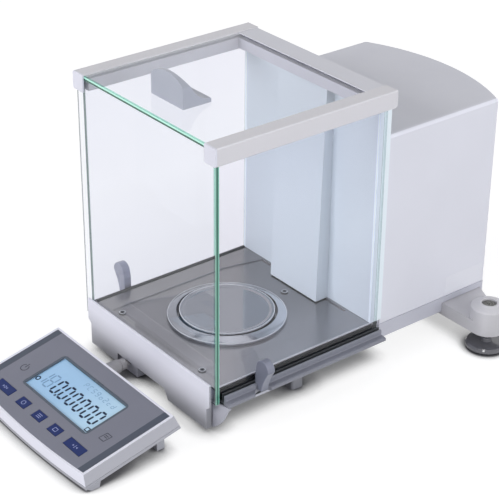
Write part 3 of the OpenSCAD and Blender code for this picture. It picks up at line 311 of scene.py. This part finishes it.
def lit(name, colour, far_colour, glow, vary=0.03):
    """A display lit from behind, whose colour runs from its left to its right end."""
    n = Nodes(name)
    bsdf = n.add("ShaderNodeBsdfPrincipled")
    bsdf.inputs["Roughness"].default_value = 0.22
    bsdf.inputs["Emission Strength"].default_value = glow
    tone = n.times(n.ramp(n.along("X"), [(0.4, colour), (1.0, far_colour)]),
                   n.ramp(n.noise(22.0, 2, None, 1.3), [(0.3, grey(1 - vary)), (0.7, grey(1))]))
    n.link(tone, bsdf.inputs["Base Color"])
    n.link(tone, bsdf.inputs["Emission Color"])
    n.link(bsdf.outputs["BSDF"], n.out.inputs["Surface"])
    return n.mat


def headed(name, colour, head_colour, head_share):
    """Bright screw steel whose knurled head, the top share of its height, is dark."""
    n = Nodes(name)
    bsdf = n.add("ShaderNodeBsdfPrincipled")
    bsdf.inputs["Metallic"].default_value = 0.9
    speckle = n.noise(1400.0, 2)
    mix = n.add("ShaderNodeMix", data_type="RGBA")
    n.link(n.maths("GREATER_THAN", n.along("Z"), 1 - head_share), mix.inputs["Factor"])
    n.link(n.ramp(n.noise(300.0), [(0.3, shade(colour, 0.9)), (0.7, colour)]), mix.inputs["A"])
    n.link(n.ramp(speckle, [(0.35, shade(head_colour, 0.3)), (0.65, shade(head_colour, 1.3))]),
           mix.inputs["B"])
    n.link(mix.outputs["Result"], bsdf.inputs["Base Color"])
    n.link(n.span(speckle, 0.2, 0.4), bsdf.inputs["Roughness"])
    n.link(n.bump(speckle, 0.3, 0.0003), bsdf.inputs["Normal"])
    n.link(bsdf.outputs["BSDF"], n.out.inputs["Surface"])
    return n.mat


def two_tone(name, outer, inner, low, high):
    """Plastic that is darker between two shares of the piece's width: painted shade."""
    n = Nodes(name)
    bsdf = n.add("ShaderNodeBsdfPrincipled")
    share = n.along("X")
    inside = n.maths("MULTIPLY", n.maths("GREATER_THAN", share, low),
                     n.maths("LESS_THAN", share, high))
    fine = n.noise(1200.0)
    mix = n.add("ShaderNodeMix", data_type="RGBA")
    n.link(inside, mix.inputs["Factor"])
    n.link(n.ramp(fine, [(0.3, shade(outer, 0.95)), (0.7, outer)]), mix.inputs["A"])
    n.link(n.ramp(fine, [(0.3, shade(inner, 0.85)), (0.7, inner)]), mix.inputs["B"])
    n.link(mix.outputs["Result"], bsdf.inputs["Base Color"])
    n.link(n.span(n.noise(60.0, 4), 0.31, 0.41), bsdf.inputs["Roughness"])
    n.link(n.bump(fine, 0.08, GRAIN_HEIGHT), bsdf.inputs["Normal"])
    n.link(bsdf.outputs["BSDF"], n.out.inputs["Surface"])
    return n.mat


# ---------- materials ----------

# The plain numbers of a surface are its roughness, the change of its tone, the change of
# its roughness, the fineness of its grain and the strength of that grain.

# Housing: rounded edges lighter as a painted highlight, level top darker as painted shade
HOUSING = surface("housing_grey", srgb(218, 219, 228), 0.38, 0.02, 0.05, 1500, 0.10, rim=1.15,
                  top=0.90)
# Partly the grey of the casting, partly painted shade: darker than the housing for the dimmer
# light low down
BASE = surface("base_grey", srgb(190, 191, 202), 0.40, 0.03, 0.05, 1300, 0.08)
# Painted shade: faces that look left or right are half as bright, rounded edges a little lighter
# as a painted highlight. The apron also darkens towards the bottom as painted shade
FRONT = surface("front_white", srgb(228, 229, 240), 0.38, 0.02, 0.05, 1300, 0.07, side=0.5,
                rim=1.06)
APRON = surface("apron_white", srgb(226, 227, 238), 0.38, 0.02, 0.05, 1300, 0.07, side=0.5,
                rim=1.06, along=("Z", (0.1, 0.5), (0.8, 1.0)))
# Partly the grey of the track end plate, partly painted shade: darker than the base for the dimmer
# light low down
WING = surface("wing_grey", srgb(176, 177, 188), 0.40, 0.03, 0.05, 1300, 0.08)
CASE = surface("terminal_grey", srgb(164, 165, 173), 0.40, 0.02, 0.05, 1300, 0.08)
# Painted highlight: the rails' rounded edges are lighter
RAIL = surface("rail_grey", srgb(210, 209, 214), 0.34, 0.02, 0.05, 1100, 0.06, rim=1.10)
CAP = surface("cap_grey", srgb(220, 221, 232), 0.34, 0.02, 0.05, 1100, 0.06)
# Painted shade: the bar's level top is darker
BAR = surface("bar_grey", srgb(214, 215, 223), 0.38, 0.02, 0.05, 1100, 0.06, top=0.92)
# Painted shade and light on the rear wall: faces that look left or right are darker, its two ends
# lighter
WALL = surface("wall_white", srgb(232, 242, 249), 0.36, 0.02, 0.05, 1100, 0.05, side=0.74,
               along=("X", (0.0, 1.3), (0.012, 1.3), (0.014, 1.0), (0.986, 1.0), (0.988, 1.3)))
TRACK = surface("track_black", srgb(56, 59, 63), 0.65, 0.06, 0.06, 900, 0.02, specular=0.2)
# Floor steel: rounded edges much lighter as a painted highlight, its right part lighter as a
# painted reflection
STEEL = surface("floor_steel", srgb(150, 149, 151), 0.22, 0.05, 0.05, 700, 0.008,
                metal=0.9, stretch=(0.06, 1.0, 1.0), aniso=0.3, rim=1.5,
                along=("X", (0.0, 0.98), (0.6, 0.98), (0.8, 1.25), (1.0, 1.32)))
# Painted highlight: the pan's rounded edges are lighter
POLISH = surface("polished_steel", srgb(158, 160, 165), 0.08, 0.03, 0.03, 500, 0.004,
                 metal=1.0, rim=1.15)
# Painted sheen: the ring's light and dark sectors stand in for its reflections
RING = surface("turned_steel", srgb(186, 188, 193), 0.14, 0.04, 0.04, 500, 0.01, metal=1.0,
               turned=(0.8, 0.78, 0.74, 0.95, 1.2, 0.85, 1.35, 1.3, 0.9, 1.1, 0.8))
SCREW = surface("screw_steel", srgb(150, 150, 152), 0.25, 0.05, 0.05, 900, 0.05, metal=1.0)
# A carrier is painted dark between its inner side and its flange, the outer 7.7 mm of its
# width: painted shade of the channel it runs in.
# A bound outside 0 to 1 is past the end of the piece
CARRIER_W, FLANGE_W = 14.9, 7.7
CARRIER_GREY, CARRIER_SHADE = srgb(127, 129, 140), srgb(52, 54, 57)
CARRIERS = {
    "left": two_tone("carrier_left", CARRIER_GREY, CARRIER_SHADE, FLANGE_W / CARRIER_W, 2.0),
    "right": two_tone("carrier_right", CARRIER_GREY, CARRIER_SHADE, -1.0, 1 - FLANGE_W / CARRIER_W),
}
# Painted highlight: the grip's rounded edges are lighter
GRIP = surface("grip_grey", srgb(122, 125, 140), 0.32, 0.03, 0.05, 1200, 0.08, rim=1.2)
# Painted light: a lighter copy of the grip grey, for the left door handle
PAINTED_LIGHT_GRIP = surface("grip_painted_light", srgb(166, 169, 184), 0.32, 0.03, 0.05, 1200, 0.08)
# Painted shade: the top handle's faces that look left or right and its rounded edges are a little
# darker
TOP_GRIP = surface("handle_grey", srgb(174, 178, 190), 0.36, 0.03, 0.05, 1200, 0.08, side=0.95,
                   rim=0.9)
# Painted shade and highlight: the arm's faces that look left or right are darker, its rounded
# edges a little lighter
ARM = surface("arm_grey", srgb(204, 203, 207), 0.36, 0.03, 0.05, 1000, 0.10, side=0.86, rim=1.06)
FOOT = surface("foot_grey", srgb(128, 129, 136), 0.40, 0.03, 0.05, 1000, 0.10)
ALU = surface("bare_aluminium", srgb(188, 190, 194), 0.32, 0.05, 0.08, 800, 0.10, metal=1.0)
MAGNET = surface("magnet_steel", srgb(120, 120, 126), 0.35, 0.05, 0.08, 800, 0.08, metal=1.0)
TURNED = surface("plain_steel", srgb(172, 172, 176), 0.28, 0.05, 0.08, 900, 0.08, metal=1.0)
FOOT_SCREW = headed("foot_screw_steel", srgb(196, 196, 200), srgb(112, 112, 110), 0.09)
COPPER = surface("copper_wire", srgb(186, 108, 66), 0.35, 0.08, 0.08, 1400, 0.3, metal=1.0)
BOARD = surface("board_green", srgb(34, 92, 60), 0.40, 0.06, 0.06, 500, 0.10)
BLACK = surface("socket_black", srgb(46, 47, 50), 0.50, 0.08, 0.08, 900, 0.15)
PLATE = surface("plate_grey", srgb(86, 88, 94), 0.45, 0.05, 0.06, 900, 0.12)
PLUG = surface("plug_grey", srgb(172, 171, 174), 0.42, 0.04, 0.06, 900, 0.12)
FOIL = surface("foil_grey", srgb(118, 120, 133), 0.45, 0.02, 0.05, 1600, 0.10)
BAND = surface("band_slate", srgb(66, 73, 88), 0.42, 0.03, 0.05, 1600, 0.08)
BEZEL = surface("bezel_blue_grey", srgb(72, 84, 98), 0.30, 0.03, 0.05, 900, 0.04)
KEY = surface("key_navy", srgb(24, 42, 98), 0.40, 0.04, 0.05, 1300, 0.08, specular=0.25)
WHEEL = surface("wheel_grey", srgb(92, 92, 98), 0.12, 0.06, 0.05, 900, 0.04, coat=0.6)
RUBBER = surface("foot_rubber", srgb(44, 44, 48), 0.62, 0.10, 0.08, 900, 0.25)
LCD = lit("display_blue", srgb(146, 182, 214), srgb(170, 200, 220), 0.22)
SEGMENT = surface("segment_navy", srgb(18, 36, 66), 0.40, 0.05, 0.04, 900, 0.02, specular=0.2)
FAINT = surface("segment_faint", srgb(120, 155, 192), 0.40, 0.03, 0.04, 900, 0.02, specular=0.2)
MARK = surface("mark_dark", srgb(52, 55, 68), 0.45, 0.05, 0.04, 900, 0.05)
KEY_MARK = surface("key_mark", srgb(150, 160, 205), 0.45, 0.05, 0.04, 900, 0.05)
LABEL = surface("label_white", srgb(220, 221, 229), 0.32, 0.01, 0.04, 900, 0.03)
# Painted highlight: a pale steel laid in thin strips where edges would catch the light
PAINTED_HIGHLIGHT = surface("painted_highlight_steel", srgb(232, 234, 238), 0.22, 0.04, 0.05, 900, 0.03, metal=0.4)
GOLD = surface("contact_gold", srgb(212, 176, 96), 0.25, 0.05, 0.05, 900, 0.05, metal=1.0)

DRESS = {
    "housing_cover": HOUSING, "base_casting": BASE, "front_apron": APRON,
    "track_end_plate": WING, "door_track_left": TRACK, "door_track_right": TRACK,
    "floor_plate": STEEL, "floor_screws": SCREW, "draught_ring": RING, "rear_wall": WALL,
    "top_rail_left": RAIL, "top_rail_right": RAIL, "rail_cap_left": CAP,
    "rail_cap_right": CAP, "rear_top_bar": BAR, "front_feet": FOOT,
    "rear_foot_beam": ARM, "cell_frame": ALU, "guide_plates": ALU, "magnet_pot": MAGNET,
    "pivot_pin": TURNED, "main_board": BOARD, "power_socket": BLACK, "serial_port": TURNED,
    "socket_plate": PLATE, "link_socket": BASE, "link_plug": PLUG,
    "terminal_upper_case": FRONT, "terminal_lower_case": CASE, "keypad_foil": FOIL,
    "display_window": BEZEL, "display_panel": LCD, "terminal_board": BOARD,
    "door_carrier_left": CARRIERS["left"], "door_carrier_right": CARRIERS["right"],
    "door_handle_left": PAINTED_LIGHT_GRIP, "door_handle_right": GRIP, "top_handle": TOP_GRIP,
    "weighing_pan": POLISH, "pan_spindle": TURNED, "load_carrier": ALU,
    "balance_lever": ALU, "force_coil": COPPER,
    "foot_pad_left": RUBBER, "foot_pad_right": RUBBER, "foot_screw_left": FOOT_SCREW,
    "foot_screw_right": FOOT_SCREW, "foot_wheel_left": WHEEL, "foot_wheel_right": WHEEL,
    "front_pane": glass("glass_front", "Y", TEAL_EDGE, GREEN_END, hidden=CLEAR_RIM),
    "side_pane_left": glass("glass_left", "X", GREY_EDGE, hidden=LINED_RIM),
    "side_pane_right": glass("glass_right", "X", PALE_EDGE, hidden=LINED_RIM),
    "top_pane": glass("glass_top", "Z", MINT_EDGE, MINT_FRONT, painted_edge_glow=srgb(180, 182, 186)),
}

# Rounding of the hard edges, in millimetres
ROUND = {
    "housing_cover": 0.8, "base_casting": 0.5, "front_apron": 0.5, "track_end_plate": 0.4,
    "floor_plate": 0.25, "top_rail_left": 0.5, "top_rail_right": 0.5, "rail_cap_left": 0.35,
    "rail_cap_right": 0.35, "rear_top_bar": 0.3, "rear_foot_beam": 0.5,
    "terminal_upper_case": 0.4, "terminal_lower_case": 0.4, "door_carrier_left": 0.25,
    "door_carrier_right": 0.25, "door_handle_left": 0.6, "door_handle_right": 0.6,
    "top_handle": 0.6, "rear_wall": 0.4, "display_window": 0.15, "link_socket": 0.4,
    "draught_ring": 0.4, "weighing_pan": 0.4,
}
for i in range(1, 6):
    DRESS["key_%d" % i] = KEY
    ROUND["key_%d" % i] = 0.2

for name, obj in nodes.items():
    mat = DRESS[name]
    if obj.data.materials:
        for material_slot in obj.material_slots:
            material_slot.material = mat
    else:
        obj.data.materials.append(mat)
    if name in ROUND:
        weld = obj.modifiers.new("weld", "WELD")
        weld.merge_threshold = 0.000002
        bevel = obj.modifiers.new("round", "BEVEL")
        bevel.width = ROUND[name] / 1000
        bevel.segments = 2
        bevel.limit_method = "ANGLE"
        bevel.angle_limit = math.radians(38)
        bevel.use_clamp_overlap = True
        bevel.harden_normals = True


# ---------- detail pieces ----------

def add_piece(name, bm, mat, body):
    """Turn a bmesh into a piece that rides on one body."""
    mesh = bpy.data.meshes.new(name)
    bmesh.ops.recalc_face_normals(bm, faces=bm.faces)
    bm.to_mesh(mesh)
    bm.free()
    obj = bpy.data.objects.new(name, mesh)
    obj.data.materials.append(mat)
    scene.collection.objects.link(obj)
    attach(obj, body)


# The terminal's face: the middle of its rear edge, the way down its slope, the way out
TILT = math.radians(12.2)
FACE_O = at(0, -34, 30.9)
FACE_S = Vector((0, -math.cos(TILT), -math.sin(TILT)))
FACE_N = Vector((0, -math.sin(TILT), math.cos(TILT)))


def on_face(x, s, h):
    """Point of the terminal: x across, s down the slope, h above the face, in mm."""
    return FACE_O + Vector((x / 1000, 0, 0)) + FACE_S * (s / 1000) + FACE_N * (h / 1000)


def prism(bm, outline, place, low, high):
    """Solid with the given flat outline between two heights; place maps (u, v, h)."""
    lower = [bm.verts.new(place(u, v, low)) for u, v in outline]
    upper = [bm.verts.new(place(u, v, high)) for u, v in outline]
    bm.faces.new(lower)
    bm.faces.new(upper)
    for i in range(len(outline)):
        j = (i + 1) % len(outline)
        bm.faces.new((lower[i], lower[j], upper[j], upper[i]))


def stroke(bm, a, b, width, place, low, high, pointed=False):
    """Bar from a to b, with points at its ends if asked."""
    dx, dy = b[0] - a[0], b[1] - a[1]
    length = math.hypot(dx, dy)
    ux, uy = dx / length, dy / length
    nx, ny = -uy * width / 2, ux * width / 2
    inset = width / 2 if pointed else 0.0
    ax, ay = a[0] + ux * inset, a[1] + uy * inset
    bx, by = b[0] - ux * inset, b[1] - uy * inset
    pts = [(ax + nx, ay + ny), (bx + nx, by + ny), (bx - nx, by - ny), (ax - nx, ay - ny)]
    if pointed:
        pts = [a] + pts[:2] + [b] + pts[2:]
    prism(bm, pts, place, low, high)


def rectangle(x0, x1, y0, y1):
    """The four corners, in the order in which they follow each other."""
    return [(x0, y0), (x1, y0), (x1, y1), (x0, y1)]


def frame_strokes(bm, corners, width, place, low, high):
    """Outline of a small mark, one bar to a side."""
    for k in range(len(corners)):
        stroke(bm, corners[k], corners[(k + 1) % len(corners)], width, place, low, high)


def ring(bm, cx, cy, rx, ry, width, place, low, high, start=0.0, turn=360.0, steps=28):
    """Flat ring or arc, as a chain of short wedges joined into one closed solid."""
    closed = turn >= 360
    count = steps if closed else steps + 1
    loops = []
    for i in range(count):
        a = math.radians(start + turn * i / steps)
        c, s = math.cos(a), math.sin(a)
        loops.append([
            bm.verts.new(place(cx + (rx - width / 2) * c, cy + (ry - width / 2) * s, low)),
            bm.verts.new(place(cx + (rx + width / 2) * c, cy + (ry + width / 2) * s, low)),
            bm.verts.new(place(cx + (rx + width / 2) * c, cy + (ry + width / 2) * s, high)),
            bm.verts.new(place(cx + (rx - width / 2) * c, cy + (ry - width / 2) * s, high))])
    for i in range(count if closed else count - 1):
        p, q = loops[i], loops[(i + 1) % count]
        for k in range(4):
            bm.faces.new((p[k], p[(k + 1) % 4], q[(k + 1) % 4], q[k]))
    if not closed:
        bm.faces.new(loops[0])
        bm.faces.new(loops[-1])


# Display: six zeros, a decimal point, a ring and a frame mark. A digit that is off, a sign
# before it and a row of small digits show faintly
LCD_TOP = -1.6
ON_LCD = (on_face, LCD_TOP, LCD_TOP + 0.06)
LOWER_ON_LCD = (on_face, LCD_TOP, LCD_TOP + 0.05)


def seg_ends(x, s, w, h, lean):
    """End points of the seven bars of one digit, its top left at (x, s)."""
    def p(u, v):
        return (x + u * w - lean * v, s + v * h)
    g = 0.06
    return {
        "a": (p(g, 0), p(1 - g, 0)), "b": (p(1, g * 0.6), p(1, 0.5 - g * 0.5)),
        "c": (p(1, 0.5 + g * 0.5), p(1, 1 - g * 0.6)), "d": (p(g, 1), p(1 - g, 1)),
        "e": (p(0, 0.5 + g * 0.5), p(0, 1 - g * 0.6)), "f": (p(0, g * 0.6), p(0, 0.5 - g * 0.5)),
        "g": (p(g, 0.5), p(1 - g, 0.5)),
    }


def digit(bm, x, s, w, h, lean, bars, width):
    """Those of a digit's seven bars that are named."""
    for k, (a, b) in seg_ends(x, s, w, h, lean).items():
        if k in bars:
            stroke(bm, a, b, width, *ON_LCD, pointed=True)


DIGIT_W, DIGIT_H, DIGIT_S, DIGIT_PITCH = 6.2, 14.6, 31.8, 10.75
bm = bmesh.new()
for i in range(6):
    digit(bm, -21.0 + i * DIGIT_PITCH, DIGIT_S, DIGIT_W, DIGIT_H, 0.9, "abcdef", 1.9)
ring(bm, -13.0, DIGIT_S + DIGIT_H + 0.2, 0.8, 0.8, 0.7, *ON_LCD, steps=14)
ring(bm, -41.4, 44.4, 1.9, 1.9, 1.1, *ON_LCD)
frame_strokes(bm, rectangle(38.6, 42.3, 49.6, 53.2), 0.8, *ON_LCD)
add_piece("display_digits", bm, SEGMENT, "stand")

bm = bmesh.new()
digit(bm, -31.8, DIGIT_S, DIGIT_W, DIGIT_H, 0.9, "abcdefg", 1.3)
stroke(bm, (-34.6, 32.0), (-35.0, 38.4), 1.3, *LOWER_ON_LCD, pointed=True)
stroke(bm, (-35.0, 39.4), (-35.4, 45.8), 1.3, *LOWER_ON_LCD, pointed=True)
for k, bars in enumerate(("abefg", "afed", "afgcd", "afgbcd", "cdeg", "abged", "deg", "bcdeg")):
    digit(bm, -4.0 + k * 5.4, 20.4, 2.8, 4.6, 0.4, bars, 0.5)
add_piece("display_unlit", bm, FAINT, "stand")

# Symbols on the foil: a power ring and a page with two lines
ON_FOIL = (on_face, 0.0, 0.05)
POWER_X, POWER_S = -59.4, 45.5
PAGE = [(56.6, 51.4), (62.8, 51.4), (63.9, 43.8), (57.7, 43.8)]
bm = bmesh.new()
ring(bm, POWER_X, POWER_S, 3.5, 3.5, 0.75, *ON_FOIL, start=-60, turn=300, steps=24)
stroke(bm, (POWER_X, POWER_S - 5.1), (POWER_X, POWER_S - 0.1), 0.8, *ON_FOIL)
frame_strokes(bm, PAGE, 0.65, *ON_FOIL)
for s in (46.0, 47.6):
    stroke(bm, (58.6, s), (62.2, s), 0.7, *ON_FOIL)
add_piece("foil_symbols", bm, MARK, "stand")

# Dark bands at both ends of the foil. Its front edge bulges towards the middle
BAND_IN, BAND_OUT, BAND_END = 72.2, 78.95, 80.95
BULGE = 4.0 * (1 - (72.5 / 79) ** 2)
for side in (-1, 1):
    bm = bmesh.new()
    outline = [(side * BAND_IN, 0.05), (side * BAND_OUT, 0.05), (side * BAND_OUT, 80.9),
               (side * 75.6, BAND_END + BULGE * 0.45), (side * BAND_IN, BAND_END + BULGE)]
    prism(bm, outline, on_face, 0.005, 0.035)
    add_piece("foil_band_" + ("left" if side < 0 else "right"), bm, BAND, "stand")

# One plain mark on each key
KEY_X = (-51, -23.2, 0, 23.2, 51)
KEY_S, KEY_TOP = 69.4, 0.2
ON_KEY = (on_face, KEY_TOP, KEY_TOP + 0.04)
for i, kx in enumerate(KEY_X):
    bm = bmesh.new()
    if i in (0, 4):
        for d in (-1, 1):
            tip = kx + d * 1.5
            prism(bm, [(tip, KEY_S), (tip + d * 1.5, KEY_S - 1.0), (tip + d * 1.5, KEY_S + 1.0)],
                  *ON_KEY)
        if i == 4:
            stroke(bm, (kx, KEY_S - 1.8), (kx, KEY_S + 1.8), 0.5, *ON_KEY)
        else:
            ring(bm, kx, KEY_S, 0.8, 1.2, 0.4, *ON_KEY, steps=16)
    elif i == 1:
        ring(bm, kx, KEY_S, 1.9, 1.9, 0.5, *ON_KEY)
    elif i == 2:
        for s in (-1.6, 0, 1.6):
            stroke(bm, (kx - 2.4, KEY_S + s), (kx + 2.4, KEY_S + s), 0.55, *ON_KEY)
    else:
        frame_strokes(bm, rectangle(kx - 2, kx + 2, KEY_S - 1.6, KEY_S + 1.6), 0.5, *ON_KEY)
    add_piece("key_mark_%d" % (i + 1), bm, KEY_MARK, "key_%d_button" % (i + 1))

# Blank type plate on the right side of the housing, with rounded corners
HOUSING_SIDE = 81.2
PLATE_T, PLATE_CORNER = 0.12, 1.2
CORNER_CENTRES = ((294.4, 52.6), (253.6, 52.6), (253.6, 37.6), (294.4, 37.6))
bm = bmesh.new()
outline = []
for quarter, (cy, cz) in enumerate(CORNER_CENTRES):
    for k in range(5):
        a = math.radians(quarter * 90 + k * 22.5)
        outline.append((cy + PLATE_CORNER * math.cos(a), cz + PLATE_CORNER * math.sin(a)))
prism(bm, outline, lambda u, v, h: at(HOUSING_SIDE + h, u, v), 0.0, PLATE_T)
add_piece("type_plate", bm, LABEL, "stand")

# Painted highlight on the chamfer round the head of each floor screw, and painted shade at the
# bottom of its recess
FLOOR_TOP = 40.6
HEAD_TOP = FLOOR_TOP + 0.9
SCREWS = ((-55.2, 14.4), (55.2, 14.4), (0, 143))
for name, radius, width, mat, slot in (("screw_chamfer_highlights", 2.5, 0.4, PAINTED_HIGHLIGHT, "plain_steel"),
                                       ("screw_recess_shade", 0.9, 1.0, TRACK, "track_black")):
    bm = bmesh.new()
    for x, y in SCREWS:
        ring(bm, x, y, radius, radius, width, at, HEAD_TOP, HEAD_TOP + 0.04)
    add_piece(name, bm, mat, "stand")

# Painted highlights on the polished edges of the weighing pan and the draught ring
PAN_Y, PAN_R, PAN_TOP, RING_R = 81.5, 40.0, 47.1, 49.8
EDGE_W = 0.7
for name, radius, low, high, body in (
        ("pan_rim_highlight", PAN_R - EDGE_W, PAN_TOP - 0.38, PAN_TOP - 0.12, "pan"),
        ("ring_rim_highlight", RING_R - 0.5, FLOOR_TOP + 2.35, FLOOR_TOP + 2.66, "stand")):
    bm = bmesh.new()
    ring(bm, 0, PAN_Y, radius, radius, EDGE_W, at, low, high, steps=96)
    add_piece(name, bm, PAINTED_HIGHLIGHT, body)

# Dark seal along the left side of the floor, and a painted highlight along the edge of the sheet
# on its right
FLOOR_HALF, FLOOR_FRONT, FLOOR_BACK = 83.9, 8, 164.6
for name, x0, x1, mat, slot in (
        ("floor_seal", -FLOOR_HALF, -FLOOR_HALF + 2.2, TRACK, "track_black"),
        ("floor_edge_highlight", FLOOR_HALF - 1.0, FLOOR_HALF, PAINTED_HIGHLIGHT, "plain_steel")):
    bm = bmesh.new()
    prism(bm, rectangle(x0, x1, FLOOR_FRONT, FLOOR_BACK), at, FLOOR_TOP + 1.0, FLOOR_TOP + 1.7)
    add_piece(name, bm, mat, "stand")

# Contacts of the serial port, in rows of five and four, and the pin of the power inlet
SOCKET_Z = 51
SERIAL_X, POWER_IN_X, CONTACT_PITCH = 14, -22, 2.76
CONTACT_ENDS, PIN_ENDS = (310.4, 311.2), (299.4, 307.6)


def rod(bm, x, z, radius, sides, front, back):
    """Small round rod that points to the rear."""
    turn = 2 * math.pi / sides
    outline = [(x + radius * math.cos(k * turn), z + radius * math.sin(k * turn))
               for k in range(sides)]
    prism(bm, outline, lambda u, v, h: at(u, h, v), front, back)


bm = bmesh.new()
for count, rise in ((5, 1.4), (4, -1.4)):
    for k in range(count):
        x = SERIAL_X + (k - (count - 1) / 2) * CONTACT_PITCH
        rod(bm, x, SOCKET_Z + rise, 0.5, 8, *CONTACT_ENDS)
rod(bm, POWER_IN_X, SOCKET_Z, 1.0, 12, *PIN_ENDS)
add_piece("socket_contacts", bm, GOLD, "stand")


# ---------- floor, world and lamps ----------

# The table: white in the open, with the object's shadow, which is dark close to it
SHADOW_REACH = 0.022
SHADOW_DARK, SHADOW_END = 0.42, 0.86
TABLE_GLOW = 0.79
n = Nodes("studio_floor")
near = n.add("ShaderNodeAmbientOcclusion", samples=16)
near.inputs["Distance"].default_value = SHADOW_REACH
open_share = n.add("ShaderNodeMapRange")
open_share.inputs["From Min"].default_value = SHADOW_DARK
open_share.inputs["From Max"].default_value = SHADOW_END
n.link(near.outputs["AO"], open_share.inputs["Value"])
away = open_share.outputs["Result"]
table = n.add("ShaderNodeBsdfDiffuse")
n.link(n.ramp(away, [(0.0, (0.20, 0.20, 0.21, 1)), (1.0, grey(0.36))]), table.inputs["Color"])
glow = n.add("ShaderNodeEmission")
n.link(n.maths("MULTIPLY", away, TABLE_GLOW), glow.inputs["Strength"])
white_table = n.add("ShaderNodeAddShader")
n.link(table.outputs["BSDF"], white_table.inputs[0])
n.link(glow.outputs["Emission"], white_table.inputs[1])
plain_table = n.add("ShaderNodeBsdfDiffuse")
plain_table.inputs["Color"].default_value = (0.42, 0.42, 0.43, 1)
n.link(n.mixed(n.seen_directly(), plain_table.outputs["BSDF"], white_table.outputs["Shader"]),
       n.out.inputs["Surface"])

# It is laid just under the feet
TABLE_HALF, TABLE_Z = 6, -0.0002
bm = bmesh.new()
bm.faces.new([bm.verts.new((x, y, TABLE_Z))
              for x, y in rectangle(-TABLE_HALF, TABLE_HALF, -TABLE_HALF, TABLE_HALF)])
floor_mesh = bpy.data.meshes.new("studio_floor")
bm.to_mesh(floor_mesh)
bm.free()
floor = bpy.data.objects.new("studio_floor", floor_mesh)
floor.data.materials.append(n.mat)
scene.collection.objects.link(floor)

# The world: plain white where it is seen, and a dome that is darker above for the light
world = bpy.data.worlds.new("studio")
scene.world = world
n = Nodes("studio", world)
white = n.add("ShaderNodeBackground")
white.inputs["Color"].default_value = grey(1)
white.inputs["Strength"].default_value = 1.0
dome = n.add("ShaderNodeBackground")
n.link(n.ramp(n.along("Z"), [(0.0, (1.0, 1.0, 1.02, 1)), (0.9, (0.10, 0.10, 0.11, 1))]),
       dome.inputs["Color"])
dome.inputs["Strength"].default_value = 0.95
n.link(n.mixed(n.seen_directly(), dome.outputs["Background"], white.outputs["Background"]),
       n.out.inputs["Surface"])


def lamp(name, location, target, size, power, colour, mirrored=False):
    """Area lamp. Only a high one may be mirrored; a low one would burn out level faces."""
    data = bpy.data.lights.new(name, "AREA")
    data.shape = "RECTANGLE"
    data.size = size[0]
    data.size_y = size[1]
    data.energy = power
    data.color = colour
    obj = bpy.data.objects.new(name, data)
    obj.location = location
    aim = Vector(target) - Vector(location)
    obj.rotation_euler = aim.to_track_quat("-Z", "Y").to_euler()
    obj.visible_glossy = mirrored
    scene.collection.objects.link(obj)


lamp("front_lamp", (-0.5, -2.2, 1.1), (0, 0, 0.1), (1.8, 1.2), 34, (1.0, 0.99, 1.0))
lamp("right_lamp", (2.4, 0.2, 1.0), (0, 0.05, 0.1), (1.6, 1.4), 34, (0.98, 0.99, 1.0))
lamp("back_lamp", (-0.6, 2.2, 1.8), (0, 0, 0.1), (1.4, 1.0), 10, (1.0, 1.0, 1.0))
lamp("edge_lamp", (0.9, -1.1, 2.6), (0, 0, 0.1), (0.4, 0.4), 4, (1.0, 1.0, 1.0), mirrored=True)

scene.view_settings.view_transform = "Standard"
